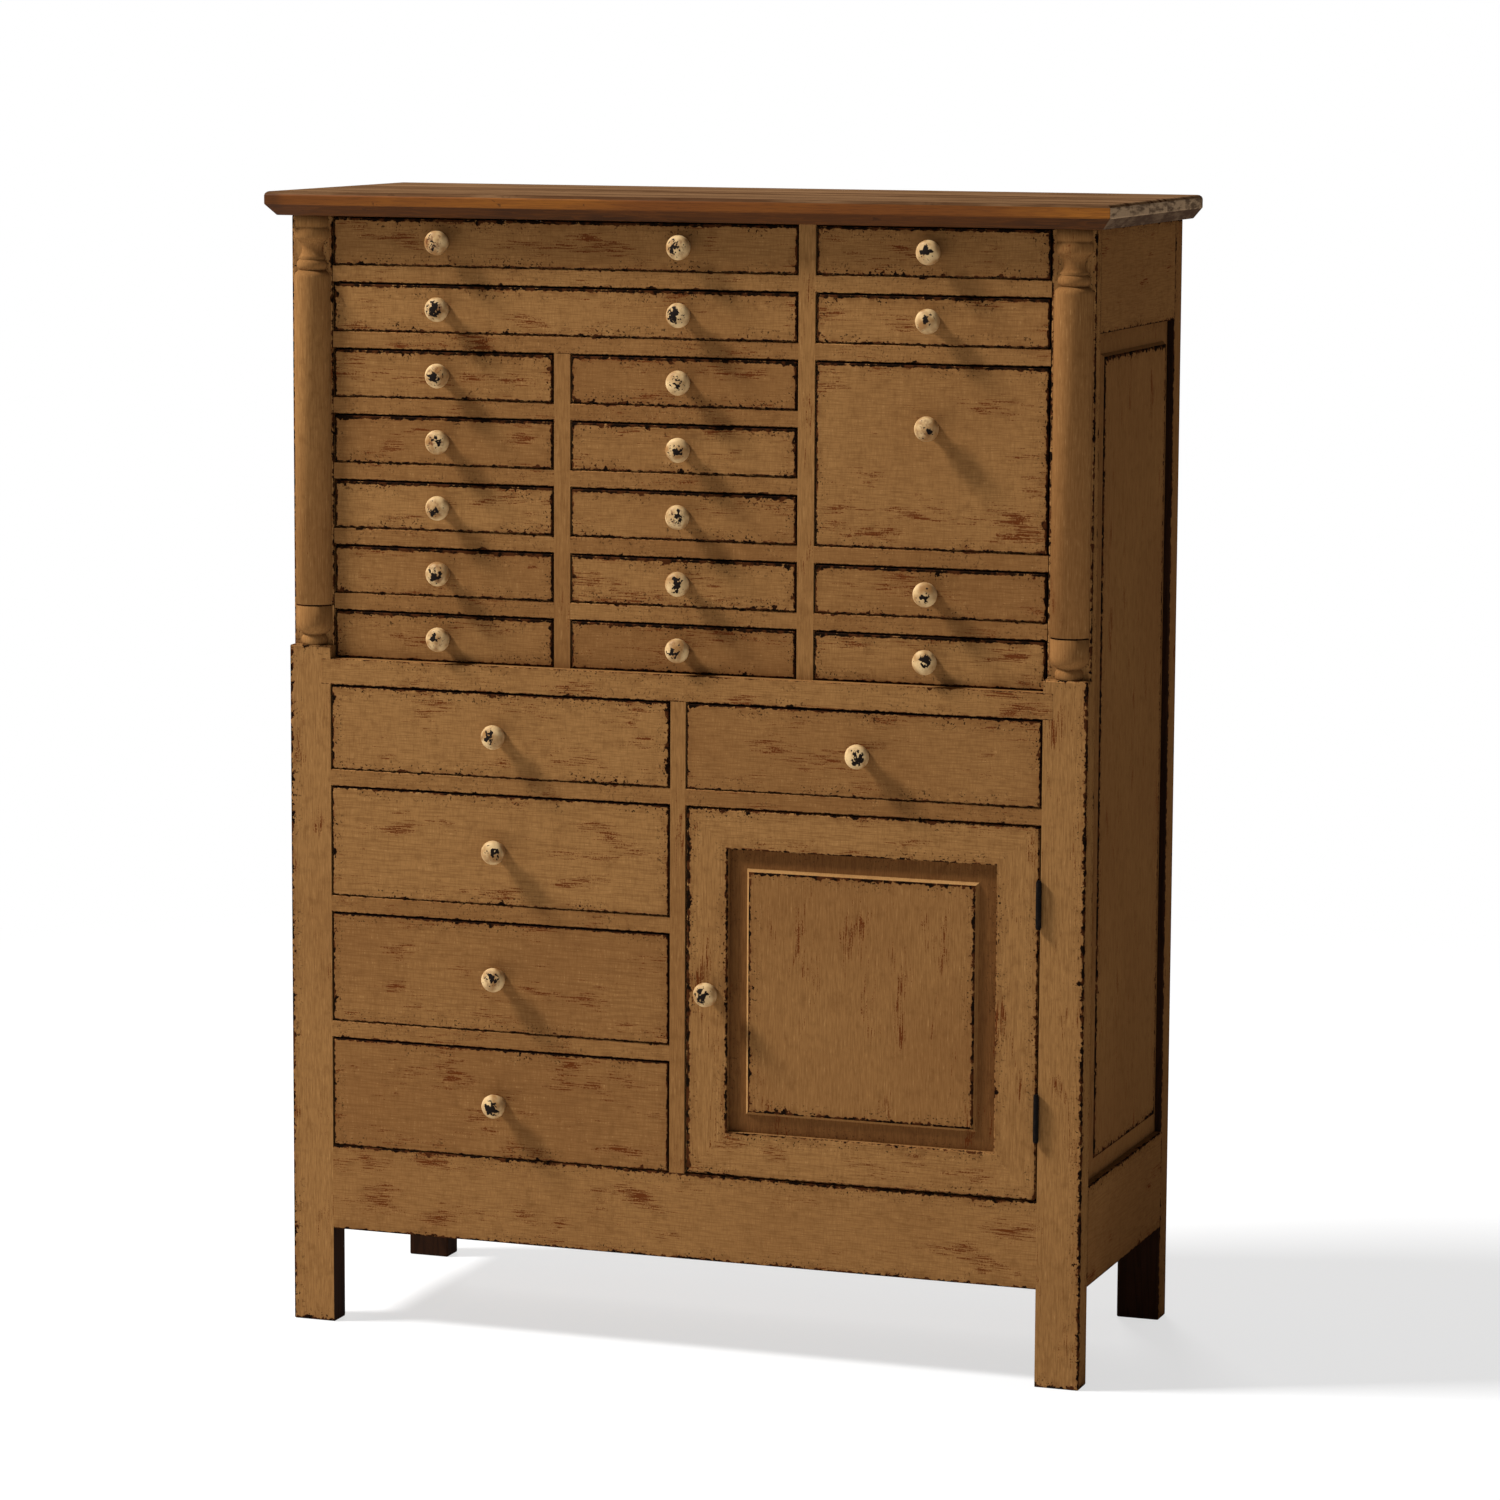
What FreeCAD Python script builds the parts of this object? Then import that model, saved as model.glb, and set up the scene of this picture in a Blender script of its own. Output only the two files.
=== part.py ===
"""Painted multi-drawer chest: a panelled case, 22 wooden drawers, a hinged door and two turned columns.

Frame: millimetres, +X to the right, +Y to the back, +Z up, origin on the floor under the middle.
"""
import os

import FreeCAD
import Part
import Sketcher

# Driving sizes, in millimetres
SIZES = {
    # Case
    "case_width": 1052.0,
    "case_depth": 414.0,
    "post_width": 56.0,
    "post_depth": 35.0,
    "post_round": 3.0,
    "leg_height": 123.0,
    "shoulder_rise": 15.6,
    "upper_setback": 15.0,
    # Top board
    "top_thickness": 30.0,
    "top_side_overhang": 24.0,
    "top_front_overhang": 16.0,
    "top_rear_overhang": 6.0,
    "top_round": 5.5,
    "top_bevel_height": 14.0,
    "top_bevel_inset": 12.0,
    # Heights of the openings and rails of the front
    "apron_height": 109.4,
    "deep_opening": 141.5,
    "middle_opening": 108.5,
    "waist_height": 33.0,
    "small_opening": 61.8,
    "rail_height": 21.0,
    "rail_depth": 22.0,
    "waist_lap": 13.0,
    # Uprights of the front, which are the edges of full-depth partitions
    "lower_divider": 20.0,
    "upper_divider": 21.5,
    # Inside of the case
    "liner_thickness": 12.0,
    "board_thickness": 18.0,
    "runner_width": 14.0,
    "runner_height": 18.0,
    "back_thickness": 10.0,
    "back_inset": 8.0,
    "back_joint": 0.6,
    # Sides and raised panels
    "side_rail_thickness": 22.0,
    "side_top_rail": 126.0,
    "side_bottom_rail": 126.0,
    "side_bevel": 30.0,
    "panel_recess": 2.0,
    "panel_step": 5.5,
    "panel_step_width": 4.5,
    "panel_slope": 1.5,
    "panel_tongue": 7.0,
    "groove_depth": 8.0,
    "groove_play": 1.0,
    # Drawers
    "front_gap": 2.0,
    "front_floor_gap": 1.0,
    "front_thickness": 20.0,
    "front_round": 2.0,
    "drawer_side_gap": 2.5,
    "drawer_top_gap": 5.0,
    "drawer_rear_gap": 1.0,
    "drawer_rest_gap": 0.3,
    "drawer_board": 10.0,
    "drawer_bottom": 5.0,
    "tall_knob_drop": 78.0,
    # Door and its ironwork
    "door_thickness": 20.0,
    "door_stile": 54.0,
    "door_top_rail": 50.0,
    "door_bottom_rail": 55.0,
    "door_bevel": 28.0,
    "door_knob_inset": 32.0,
    "leaf_thickness": 1.0,
    "leaf_gap": 0.3,
    "leaf_depth": 16.0,
    "hinge_length": 56.0,
    "hinge_top_drop": 95.0,
    "hinge_bottom_rise": 103.0,
    "knuckle_radius": 3.5,
    "knuckle_stand_off": 0.4,
    "knuckle_gap": 0.3,
    "pin_radius": 1.6,
    "pin_clearance": 0.06,
    "pin_head_radius": 3.0,
    "pin_head_height": 2.0,
    "catch_inset": 70.0,
    "catch_width": 40.0,
    "catch_depth": 14.0,
    "catch_height": 18.0,
    "catch_plate": 1.6,
    "catch_play": 0.4,
    # Turned knob, its stretches stacked out from the face that it stands on
    "knob_collar_radius": 9.5,
    "knob_collar_height": 3.0,
    "knob_neck_radius": 7.3,
    "knob_neck_height": 6.0,
    "knob_cove": 0.8,
    "knob_rim_radius": 13.9,
    "knob_flare_height": 6.0,
    "knob_flare": 1.0,
    "knob_face_radius": 12.4,
    "knob_edge_height": 11.0,
    "knob_edge": 2.2,
    "knob_crown": 3.0,
    # Turned column, its base stacked up from the shoulder and its cap down from the top board
    "column_radius": 25.0,
    "column_setback": 20.0,
    "base_bead_radius": 17.3,
    "base_bead_height": 13.5,
    "base_bead_curve": 2.6,
    "base_neck_radius": 14.5,
    "bowl_floor_radius": 16.5,
    "bowl_floor_rise": 0.5,
    "bowl_height": 15.5,
    "bowl_curve": 3.0,
    "shaft_foot_height": 20.5,
    "column_groove_width": 2.0,
    "column_groove_depth": 2.0,
    "cap_block_radius": 23.0,
    "cap_block_height": 13.5,
    "cap_quirk_width": 3.0,
    "cap_quirk_depth": 1.5,
    "cap_bead_height": 12.5,
    "cap_bead_curve": 1.3,
    "cap_cove_height": 24.5,
    "cap_cove": 6.0,
    "cap_ring_radius": 17.0,
    "cap_ring_height": 15.5,
    "cap_ring_curve": 3.5,
    "cap_shoulder_height": 9.5,
    "cap_shoulder_curve": 2.6,
}

SMALL_ROWS = 7
DEEP_DRAWERS = 3
SMALL_COLUMNS = 3
BACK_BOARDS = 5
WIDE_ROWS = (1, 2)
TALL_ROWS = (3, 4, 5)
NARROW_ROWS = range(3, SMALL_ROWS + 1)
RIGHT_ROWS = (1, 2, 6, 7)

# Two places on one axis are the same within this distance
SAME_PLACE = 0.01

doc = FreeCAD.newDocument("chest")
sheet = doc.addObject("Spreadsheet::Sheet", "dim")
for line, (word, size) in enumerate(SIZES.items(), 1):
    sheet.set(f"A{line}", word)
    sheet.set(f"B{line}", str(size))
    sheet.setAlias(f"B{line}", word)
doc.recompute()

nodes = []


# Places worked out from the driving sizes, written as expressions on the sheet

HALF = "(dim.case_width / 2)"
INNER = f"({HALF} - dim.post_width)"
KNOB_NECK_TOP = "(dim.knob_collar_height + dim.knob_neck_height)"
KNOB_RIM_TOP = f"({KNOB_NECK_TOP} + dim.knob_flare_height)"
KNOB_FACE_TOP = f"({KNOB_RIM_TOP} + dim.knob_edge_height)"
KNOB_REACH = f"({KNOB_FACE_TOP} + dim.knob_crown)"
FRONT = f"(-(dim.case_depth + dim.top_rear_overhang - {KNOB_REACH}) / 2)"
REAR = f"({FRONT} + dim.case_depth)"
UPPER_FRONT = f"({FRONT} + dim.upper_setback)"
RAIL_BACK = f"({FRONT} + dim.rail_depth)"
UPPER_RAIL_BACK = f"({UPPER_FRONT} + dim.rail_depth)"
POST_BACK = f"({FRONT} + dim.post_depth)"
REAR_POST_FRONT = f"({REAR} - dim.post_depth)"
BACK_FACE = f"({REAR} - dim.back_inset - dim.back_thickness)"

APRON_TOP = "(dim.leg_height + dim.apron_height)"
DEEP_PITCH = "(dim.deep_opening + dim.rail_height)"
MIDDLE_FLOOR = f"({APRON_TOP} + {DEEP_DRAWERS} * {DEEP_PITCH})"
WAIST_LOW = f"({MIDDLE_FLOOR} + dim.middle_opening)"
WAIST_TOP = f"({WAIST_LOW} + dim.waist_height)"
SHOULDER = f"({WAIST_TOP} + dim.shoulder_rise)"
SMALL_PITCH = "(dim.small_opening + dim.rail_height)"
CASE_TOP = f"({WAIST_TOP} + {SMALL_ROWS} * {SMALL_PITCH} - dim.rail_height)"
DOOR_CEILING = f"({MIDDLE_FLOOR} - dim.rail_height)"

COLUMN = f"((2 * {INNER} - {SMALL_COLUMNS - 1} * dim.upper_divider) / {SMALL_COLUMNS})"
LEFT = (f"(-{INNER})", f"(-{INNER} + {COLUMN})")
MIDDLE = (f"(-{COLUMN} / 2)", f"({COLUMN} / 2)")
RIGHT = (f"({INNER} - {COLUMN})", INNER)
WIDE = (LEFT[0], MIDDLE[1])
BASE_LEFT = (f"(-{INNER})", "(-dim.lower_divider / 2)")
BASE_RIGHT = ("(dim.lower_divider / 2)", INNER)


def row_floor(row):
    """Height of the floor of a row of small drawers, counted from 1 at the top."""
    return f"({WAIST_TOP} + {SMALL_ROWS - row} * {SMALL_PITCH})"


def row_ceiling(row):
    return f"({row_floor(row)} + dim.small_opening)"


def deep_floor(place):
    """Height of the floor of a deep base drawer, counted from 1 at the bottom."""
    return f"({APRON_TOP} + {place - 1} * {DEEP_PITCH})"


def middle_of(limits):
    return f"(({limits[0]} + {limits[1]}) / 2)"


def inset(limits, margin):
    return (f"({limits[0]} + {margin})", f"({limits[1]} - {margin})")


def outset(limits, margin):
    return (f"({limits[0]} - {margin})", f"({limits[1]} + {margin})")


# Small helpers that make and combine pieces

def plank(name, x, y, z):
    """A plain board between two limits on each axis."""
    board = doc.addObject("Part::Box", name)
    for side, letter, (low, high) in (("Length", "x", x), ("Width", "y", y), ("Height", "z", z)):
        board.setExpression(side, f"{high} - {low}")
        board.setExpression(f"Placement.Base.{letter}", low)
    return board


def frustum(name, depth, near, far):
    """A block along its own Y whose section goes from the near (x, z) limits to the far ones."""
    block = doc.addObject("Part::Wedge", name)
    for words, limits in (
        (("Ymin", "Ymax"), depth),
        (("Xmin", "Xmax"), near[0]), (("Zmin", "Zmax"), near[1]),
        (("X2min", "X2max"), far[0]), (("Z2min", "Z2max"), far[1]),
    ):
        for word, size in zip(words, limits):
            block.setExpression(word, size)
    return block


def rod(name, radius, x, y, z):
    """An upright round bar between two heights."""
    bar = doc.addObject("Part::Cylinder", name)
    bar.setExpression("Radius", radius)
    bar.setExpression("Height", f"{z[1]} - {z[0]}")
    for letter, place in (("x", x), ("y", y), ("z", z[0])):
        bar.setExpression(f"Placement.Base.{letter}", place)
    return bar


def cut_away(base, *tools):
    for tool in tools:
        cut = doc.addObject("Part::Cut", base.Name + "_cut")
        cut.Base = base
        cut.Tool = tool
        cut.Refine = True
        base = cut
    return base


def fused(name, pieces):
    whole = doc.addObject("Part::MultiFuse", name)
    whole.Shapes = pieces
    whole.Refine = True
    return whole


def mirrored(piece):
    """The same piece on the other side of the chest."""
    other = doc.addObject("Part::Mirroring", piece.Name + "_mirrored")
    other.Source = piece
    other.Normal = FreeCAD.Vector(1, 0, 0)
    return other


def eased(piece, size, chosen):
    """Round the edges whose two ends both pass the test, by a size of the sheet."""
    doc.recompute()
    edges = piece.Shape.Edges
    numbers = [n for n, edge in enumerate(edges, 1) if all(chosen(v.Point) for v in edge.Vertexes)]
    radius = sheet.get(size)
    rounded = doc.addObject("Part::Fillet", piece.Name + "_eased")
    rounded.Base = piece
    rounded.Edges = [(number, radius, radius) for number in numbers]
    return rounded


def node(name, pieces):
    """A named sub-part: one piece, or a group of separate pieces."""
    group = doc.addObject("Part::Compound", name)
    group.Links = pieces
    group.Label = name
    nodes.append(group)
    return group


def value(expression):
    return float(sheet.evalExpression(expression))


def arc_between(start, end, rise):
    """Arc from start to end that swells to the right of the way, or to the left for a negative rise."""
    way = end - start
    side = FreeCAD.Vector(way.y, -way.x, 0).normalize()
    crown = (start + end) * 0.5 + side * rise
    return Part.ArcOfCircle(start, crown, end) if rise > 0 else Part.ArcOfCircle(end, crown, start)


def arc_radius(start, end, rise):
    """Radius of the arc between two (radius, height) points, as an expression."""
    chord = f"(({end[0]} - {start[0]}) ^ 2 + ({end[1]} - {start[1]}) ^ 2)"
    return f"({chord} / 8 / abs({rise}) + abs({rise}) / 2)"


def turned(name, outline):
    """A body turned about Z from (radius, height, rise) points; a rise curves the way to the next one."""
    body = doc.addObject("PartDesign::Body", name)
    plane = next(f for f in body.Origin.OriginFeatures if f.Role == "XZ_Plane")
    sketch = body.newObject("Sketcher::SketchObject", name + "_profile")
    sketch.AttachmentSupport = [(plane, "")]
    sketch.MapMode = "FlatFace"

    def bind(kind, places, now, expression):
        rule = sketch.addConstraint(Sketcher.Constraint(kind, *places, now))
        sketch.setExpression(f"Constraints[{rule}]", expression)

    points = [FreeCAD.Vector(value(radius), value(height), 0) for radius, height, _ in outline]
    ends = []
    for place, (_, _, rise) in enumerate(outline):
        after = (place + 1) % len(outline)
        bend = value(rise) if rise else 0.0
        if bend:
            number = sketch.addGeometry(arc_between(points[place], points[after], bend), False)
            radius = arc_radius(outline[place], outline[after], rise)
            bind("Radius", (number,), value(radius), radius)
        else:
            number = sketch.addGeometry(Part.LineSegment(points[place], points[after]), False)
        ends.append((number, 2, 1) if bend < 0 else (number, 1, 2))
    for place, (number, first, _) in enumerate(ends):
        before, _, last = ends[place - 1]
        sketch.addConstraint(Sketcher.Constraint("Coincident", before, last, number, first))
        radius, height, _ = outline[place]
        for kind, axis, size in (("DistanceX", -2, radius), ("DistanceY", -1, height)):
            if size == "0":
                sketch.addConstraint(Sketcher.Constraint("PointOnObject", number, first, axis))
            else:
                bind(kind, (-1, 1, number, first), value(size), size)
    doc.recompute()
    spin = body.newObject("PartDesign::Revolution", name + "_turning")
    spin.Profile = sketch
    spin.ReferenceAxis = (sketch, ["V_Axis"])
    spin.Angle = 360
    body.Tip = spin
    return body


# Turned knob, with a face that is part of a ball

KNOB_BALL = "((dim.knob_face_radius ^ 2 + dim.knob_crown ^ 2) / 2 / dim.knob_crown)"
KNOB_DOME = f"({KNOB_BALL} - sqrt({KNOB_BALL} ^ 2 - {KNOB_BALL} * dim.knob_crown / 2))"
KNOB_OUTLINE = [
    ("0", "0", None),
    ("dim.knob_collar_radius", "0", None),
    ("dim.knob_collar_radius", "dim.knob_collar_height", "-dim.knob_cove"),
    ("dim.knob_neck_radius", KNOB_NECK_TOP, "-dim.knob_flare"),
    ("dim.knob_rim_radius", KNOB_RIM_TOP, "dim.knob_edge"),
    ("dim.knob_face_radius", KNOB_FACE_TOP, KNOB_DOME),
    ("0", KNOB_REACH, None),
]
knob_master = turned("knob_master", KNOB_OUTLINE)


def knob(name, x, face, z):
    """A knob standing out of a face towards the front."""
    copy = doc.addObject("Part::Compound", name)
    copy.Links = [knob_master]
    copy.Placement.Rotation = FreeCAD.Rotation(FreeCAD.Vector(1, 0, 0), 90)
    for letter, size in (("x", x), ("y", face), ("z", z)):
        copy.setExpression(f"Placement.Base.{letter}", size)
    return copy


# Top board

def top_board():
    x = (f"(-{HALF} - dim.top_side_overhang)", f"({HALF} + dim.top_side_overhang)")
    y = (f"({FRONT} - dim.top_front_overhang)", f"({REAR} + dim.top_rear_overhang)")
    bevel_top = f"({CASE_TOP} + dim.top_bevel_height)"
    top = f"({CASE_TOP} + dim.top_thickness)"
    slab = plank("top_slab", x, y, (bevel_top, top))
    height = value(top)
    slab = eased(slab, "top_round", lambda point: abs(point.z - height) < SAME_PLACE)
    low = (inset(x, "dim.top_bevel_inset"), (f"-{y[1]}", f"-({y[0]} + dim.top_bevel_inset)"))
    high = (x, (f"-{y[1]}", f"-{y[0]}"))
    bevel = frustum("top_bevel", (CASE_TOP, bevel_top), low, high)
    bevel.Placement.Rotation = FreeCAD.Rotation(FreeCAD.Vector(1, 0, 0), 90)
    node("top_board", [fused("top_whole", [slab, bevel])])


# Corner posts, side frames and raised side panels

SIDE_Y = (POST_BACK, REAR_POST_FRONT)
SIDE_Z = ("(dim.leg_height + dim.side_bottom_rail)", f"({CASE_TOP} - dim.side_top_rail)")
FIELD_FACE = "dim.panel_recess"
RIM_FACE = "(dim.panel_recess + dim.panel_step)"
TONGUE_FACE = f"({RIM_FACE} + dim.panel_slope)"
TONGUE_BACK = f"({TONGUE_FACE} + dim.panel_tongue)"
TONGUE_X = (f"({HALF} - {TONGUE_BACK})", f"({HALF} - {TONGUE_FACE})")
TONGUE_REACH = "(dim.groove_depth - dim.groove_play)"


def corner_posts():
    outer = value(HALF)
    x = (INNER, HALF)
    groove_z = outset(SIDE_Z, "dim.groove_depth")
    rear_groove_y = (REAR_POST_FRONT, f"({REAR_POST_FRONT} + dim.groove_depth)")
    lap_end = f"({INNER} + dim.waist_lap)"

    def stock(name, y):
        post = plank(name, x, y, ("0", CASE_TOP))
        return eased(post, "post_round", lambda p: abs(p.x - outer) < SAME_PLACE or abs(p.z) < SAME_PLACE)

    front = cut_away(
        stock("front_post", (FRONT, POST_BACK)),
        plank("setback_cut", x, (FRONT, UPPER_FRONT), (SHOULDER, CASE_TOP)),
        plank("waist_notch", (INNER, lap_end), (FRONT, RAIL_BACK), (WAIST_LOW, WAIST_TOP)),
        plank("front_groove", TONGUE_X, (f"({POST_BACK} - dim.groove_depth)", POST_BACK), groove_z),
    )
    rear = cut_away(
        stock("rear_post", (REAR_POST_FRONT, REAR)),
        plank("rear_groove", TONGUE_X, rear_groove_y, groove_z),
    )
    node("corner_posts", [front, mirrored(front), rear, mirrored(rear)])


def side_rails():
    x = (f"({HALF} - dim.side_rail_thickness)", HALF)
    low = cut_away(
        plank("side_low_rail", x, SIDE_Y, ("dim.leg_height", SIDE_Z[0])),
        plank("side_low_groove", TONGUE_X, SIDE_Y, (f"({SIDE_Z[0]} - dim.groove_depth)", SIDE_Z[0])),
    )
    high = cut_away(
        plank("side_high_rail", x, SIDE_Y, (SIDE_Z[1], CASE_TOP)),
        plank("side_high_groove", TONGUE_X, SIDE_Y, (SIDE_Z[1], f"({SIDE_Z[1]} + dim.groove_depth)")),
    )
    node("side_rails", [low, mirrored(low), high, mirrored(high)])


def side_panels():
    slab = plank("side_slab", TONGUE_X, outset(SIDE_Y, TONGUE_REACH), outset(SIDE_Z, TONGUE_REACH))
    opening = ((f"-{SIDE_Y[1]}", f"-{SIDE_Y[0]}"), SIDE_Z)
    rim = [inset(limits, "(dim.side_bevel - dim.panel_step_width)") for limits in opening]
    field = [inset(limits, "dim.side_bevel") for limits in opening]
    rim_x = f"({HALF} - {RIM_FACE})"
    slope = frustum("side_slope", (TONGUE_X[1], rim_x), opening, rim)
    step = frustum("side_step", (rim_x, f"({HALF} - {FIELD_FACE})"), rim, field)
    for piece in (slope, step):
        piece.Placement.Rotation = FreeCAD.Rotation(FreeCAD.Vector(0, 0, 1), -90)
    panel = fused("side_panel", [slab, slope, step])
    node("side_panels", [panel, mirrored(panel)])


# Front rails, partitions, liners, boards, runners and back

# The floors of the small drawers that stand on rails and runners; the lowest row stands on the waist board
SMALL_FLOORS = [(WIDE, row_floor(row)) for row in WIDE_ROWS]
SMALL_FLOORS += [(column, row_floor(row)) for row in NARROW_ROWS[:-1] for column in (LEFT, MIDDLE)]
SMALL_FLOORS += [(RIGHT, row_floor(row)) for row in (*RIGHT_ROWS[:-1], TALL_ROWS[-1])]


def front_rails():
    lower_y = (FRONT, RAIL_BACK)
    upper_y = (UPPER_FRONT, UPPER_RAIL_BACK)
    full = (f"(-{INNER})", INNER)
    rails = [
        plank("apron", full, lower_y, ("dim.leg_height", APRON_TOP)),
        plank("waist_rail", outset(full, "dim.waist_lap"), lower_y, (WAIST_LOW, WAIST_TOP)),
        plank("rail_over_door", BASE_RIGHT, lower_y, (DOOR_CEILING, MIDDLE_FLOOR)),
    ]
    for place in range(2, DEEP_DRAWERS + 2):
        floor = deep_floor(place)
        rails.append(plank("base_rail", BASE_LEFT, lower_y, (f"({floor} - dim.rail_height)", floor)))
    for column, floor in SMALL_FLOORS:
        rails.append(plank("small_rail", column, upper_y, (f"({floor} - dim.rail_height)", floor)))
    node("front_rails", rails)


def inner_walls():
    liner_z = (f"({APRON_TOP} - dim.board_thickness)", CASE_TOP)
    liner = plank("liner", (INNER, f"({INNER} + dim.liner_thickness)"), SIDE_Y, liner_z)
    lower_y = (FRONT, BACK_FACE)
    upper_y = (UPPER_FRONT, BACK_FACE)
    left_top = f"({row_floor(WIDE_ROWS[-1])} - dim.rail_height)"
    lower = plank("lower_partition", (BASE_LEFT[1], BASE_RIGHT[0]), lower_y, (APRON_TOP, WAIST_LOW))
    left = plank("left_partition", (LEFT[1], MIDDLE[0]), upper_y, (WAIST_TOP, left_top))
    right = plank("right_partition", (MIDDLE[1], RIGHT[0]), upper_y, (WAIST_TOP, CASE_TOP))
    node("inner_walls", [liner, mirrored(liner), lower, left, right])


def case_boards():
    full = (f"(-{INNER})", INNER)
    y = (RAIL_BACK, BACK_FACE)
    levels = (("bottom", full, APRON_TOP), ("ceiling", BASE_RIGHT, MIDDLE_FLOOR), ("waist", full, WAIST_TOP))
    boards = []
    for name, x, top in levels:
        boards.append(plank(f"{name}_board", x, y, (f"({top} - dim.board_thickness)", top)))
    node("case_boards", boards)


def drawer_runners():
    runs = [(column, UPPER_RAIL_BACK, floor) for column, floor in SMALL_FLOORS]
    runs += [(BASE_LEFT, RAIL_BACK, deep_floor(place)) for place in range(2, DEEP_DRAWERS + 2)]
    strips = []
    for (low, high), start, floor in runs:
        z = (f"({floor} - dim.runner_height)", floor)
        strips.append(plank("runner", (low, f"({low} + dim.runner_width)"), (start, BACK_FACE), z))
        strips.append(plank("runner", (f"({high} - dim.runner_width)", high), (start, BACK_FACE), z))
    node("drawer_runners", strips)


def back_boards():
    y = (BACK_FACE, f"({BACK_FACE} + dim.back_thickness)")
    pitch = f"(2 * {INNER} / {BACK_BOARDS})"
    boards = []
    for place in range(BACK_BOARDS):
        x = (f"(-{INNER} + {place} * {pitch})", f"(-{INNER} + {place + 1} * {pitch})")
        boards.append(plank("back_board", inset(x, "dim.back_joint / 2"), y, ("dim.leg_height", CASE_TOP)))
    node("back_boards", boards)


# Turned half columns

BEAD_TOP = f"({SHOULDER} + dim.base_bead_height)"
BOWL_FLOOR = f"({BEAD_TOP} + dim.bowl_floor_rise)"
BOWL_TOP = f"({BOWL_FLOOR} + dim.bowl_height)"
GROOVE_LOW = f"({BOWL_TOP} + dim.shaft_foot_height)"
GROOVE_TOP = f"({GROOVE_LOW} + dim.column_groove_width)"
CAP_BLOCK_LOW = f"({CASE_TOP} - dim.cap_block_height)"
CAP_BEAD_TOP = f"({CAP_BLOCK_LOW} - dim.cap_quirk_width)"
CAP_BEAD_LOW = f"({CAP_BEAD_TOP} - dim.cap_bead_height)"
CAP_RING_TOP = f"({CAP_BEAD_LOW} - dim.cap_cove_height)"
CAP_RING_LOW = f"({CAP_RING_TOP} - dim.cap_ring_height)"
SHAFT_TOP = f"({CAP_RING_LOW} - dim.cap_shoulder_height)"
COLUMN_OUTLINE = [
    ("0", SHOULDER, None),
    ("dim.base_bead_radius", SHOULDER, "dim.base_bead_curve"),
    ("dim.base_neck_radius", BEAD_TOP, None),
    ("dim.bowl_floor_radius", BOWL_FLOOR, "dim.bowl_curve"),
    ("dim.column_radius", BOWL_TOP, None),
    ("dim.column_radius", GROOVE_LOW, None),
    ("(dim.column_radius - dim.column_groove_depth)", middle_of((GROOVE_LOW, GROOVE_TOP)), None),
    ("dim.column_radius", GROOVE_TOP, None),
    ("dim.column_radius", SHAFT_TOP, "dim.cap_shoulder_curve"),
    ("dim.cap_ring_radius", CAP_RING_LOW, "dim.cap_ring_curve"),
    ("dim.cap_ring_radius", CAP_RING_TOP, "-dim.cap_cove"),
    ("dim.cap_block_radius", CAP_BEAD_LOW, "dim.cap_bead_curve"),
    ("dim.cap_block_radius", CAP_BEAD_TOP, None),
    ("(dim.cap_block_radius - dim.cap_quirk_depth)", middle_of((CAP_BEAD_TOP, CAP_BLOCK_LOW)), None),
    ("dim.cap_block_radius", CAP_BLOCK_LOW, None),
    ("dim.cap_block_radius", CASE_TOP, None),
    ("0", CASE_TOP, None),
]


def corner_columns():
    round_column = turned("round_column", COLUMN_OUTLINE)
    axis = middle_of((INNER, HALF))
    round_column.setExpression("Placement.Base.x", axis)
    round_column.setExpression("Placement.Base.y", f"({FRONT} + dim.column_setback)")
    behind = (UPPER_FRONT, f"({UPPER_FRONT} + 2 * dim.column_radius)")
    split = plank("split_cut", outset((axis, axis), "2 * dim.column_radius"), behind, (SHOULDER, CASE_TOP))
    half = cut_away(round_column, split)
    node("corner_columns", [half, mirrored(half)])


# Drawers with their knobs

def drawer(name, x, z, face, knobs):
    """A drawer in an opening: rounded front, two sides, back and bottom, and knobs at (x, z) places."""
    front_back = f"({face} + dim.front_thickness)"
    end = f"({BACK_FACE} - dim.drawer_rear_gap)"
    front_z = (f"({z[0]} + dim.front_floor_gap)", f"({z[1]} - dim.front_gap)")
    front = plank(f"{name}_front", inset(x, "dim.front_gap"), (face, front_back), front_z)
    face_y = value(face)
    front = eased(front, "front_round", lambda point: abs(point.y - face_y) < SAME_PLACE)
    box_x = inset(x, "dim.drawer_side_gap")
    base = f"({z[0]} + dim.drawer_rest_gap)"
    floor = f"({base} + dim.drawer_bottom)"
    wall_z = (floor, f"({z[1]} - dim.drawer_top_gap)")
    inner_x = inset(box_x, "dim.drawer_board")
    pieces = [
        front,
        plank(f"{name}_bottom", box_x, (front_back, end), (base, floor)),
        plank(f"{name}_left", (box_x[0], inner_x[0]), (front_back, end), wall_z),
        plank(f"{name}_right", (inner_x[1], box_x[1]), (front_back, end), wall_z),
        plank(f"{name}_back", inner_x, (f"({end} - dim.drawer_board)", end), wall_z),
    ]
    node(f"drawer_{name}", pieces)
    node(f"knob_{name}", [knob(f"{name}_knob", place_x, face, place_z) for place_x, place_z in knobs])


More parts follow.
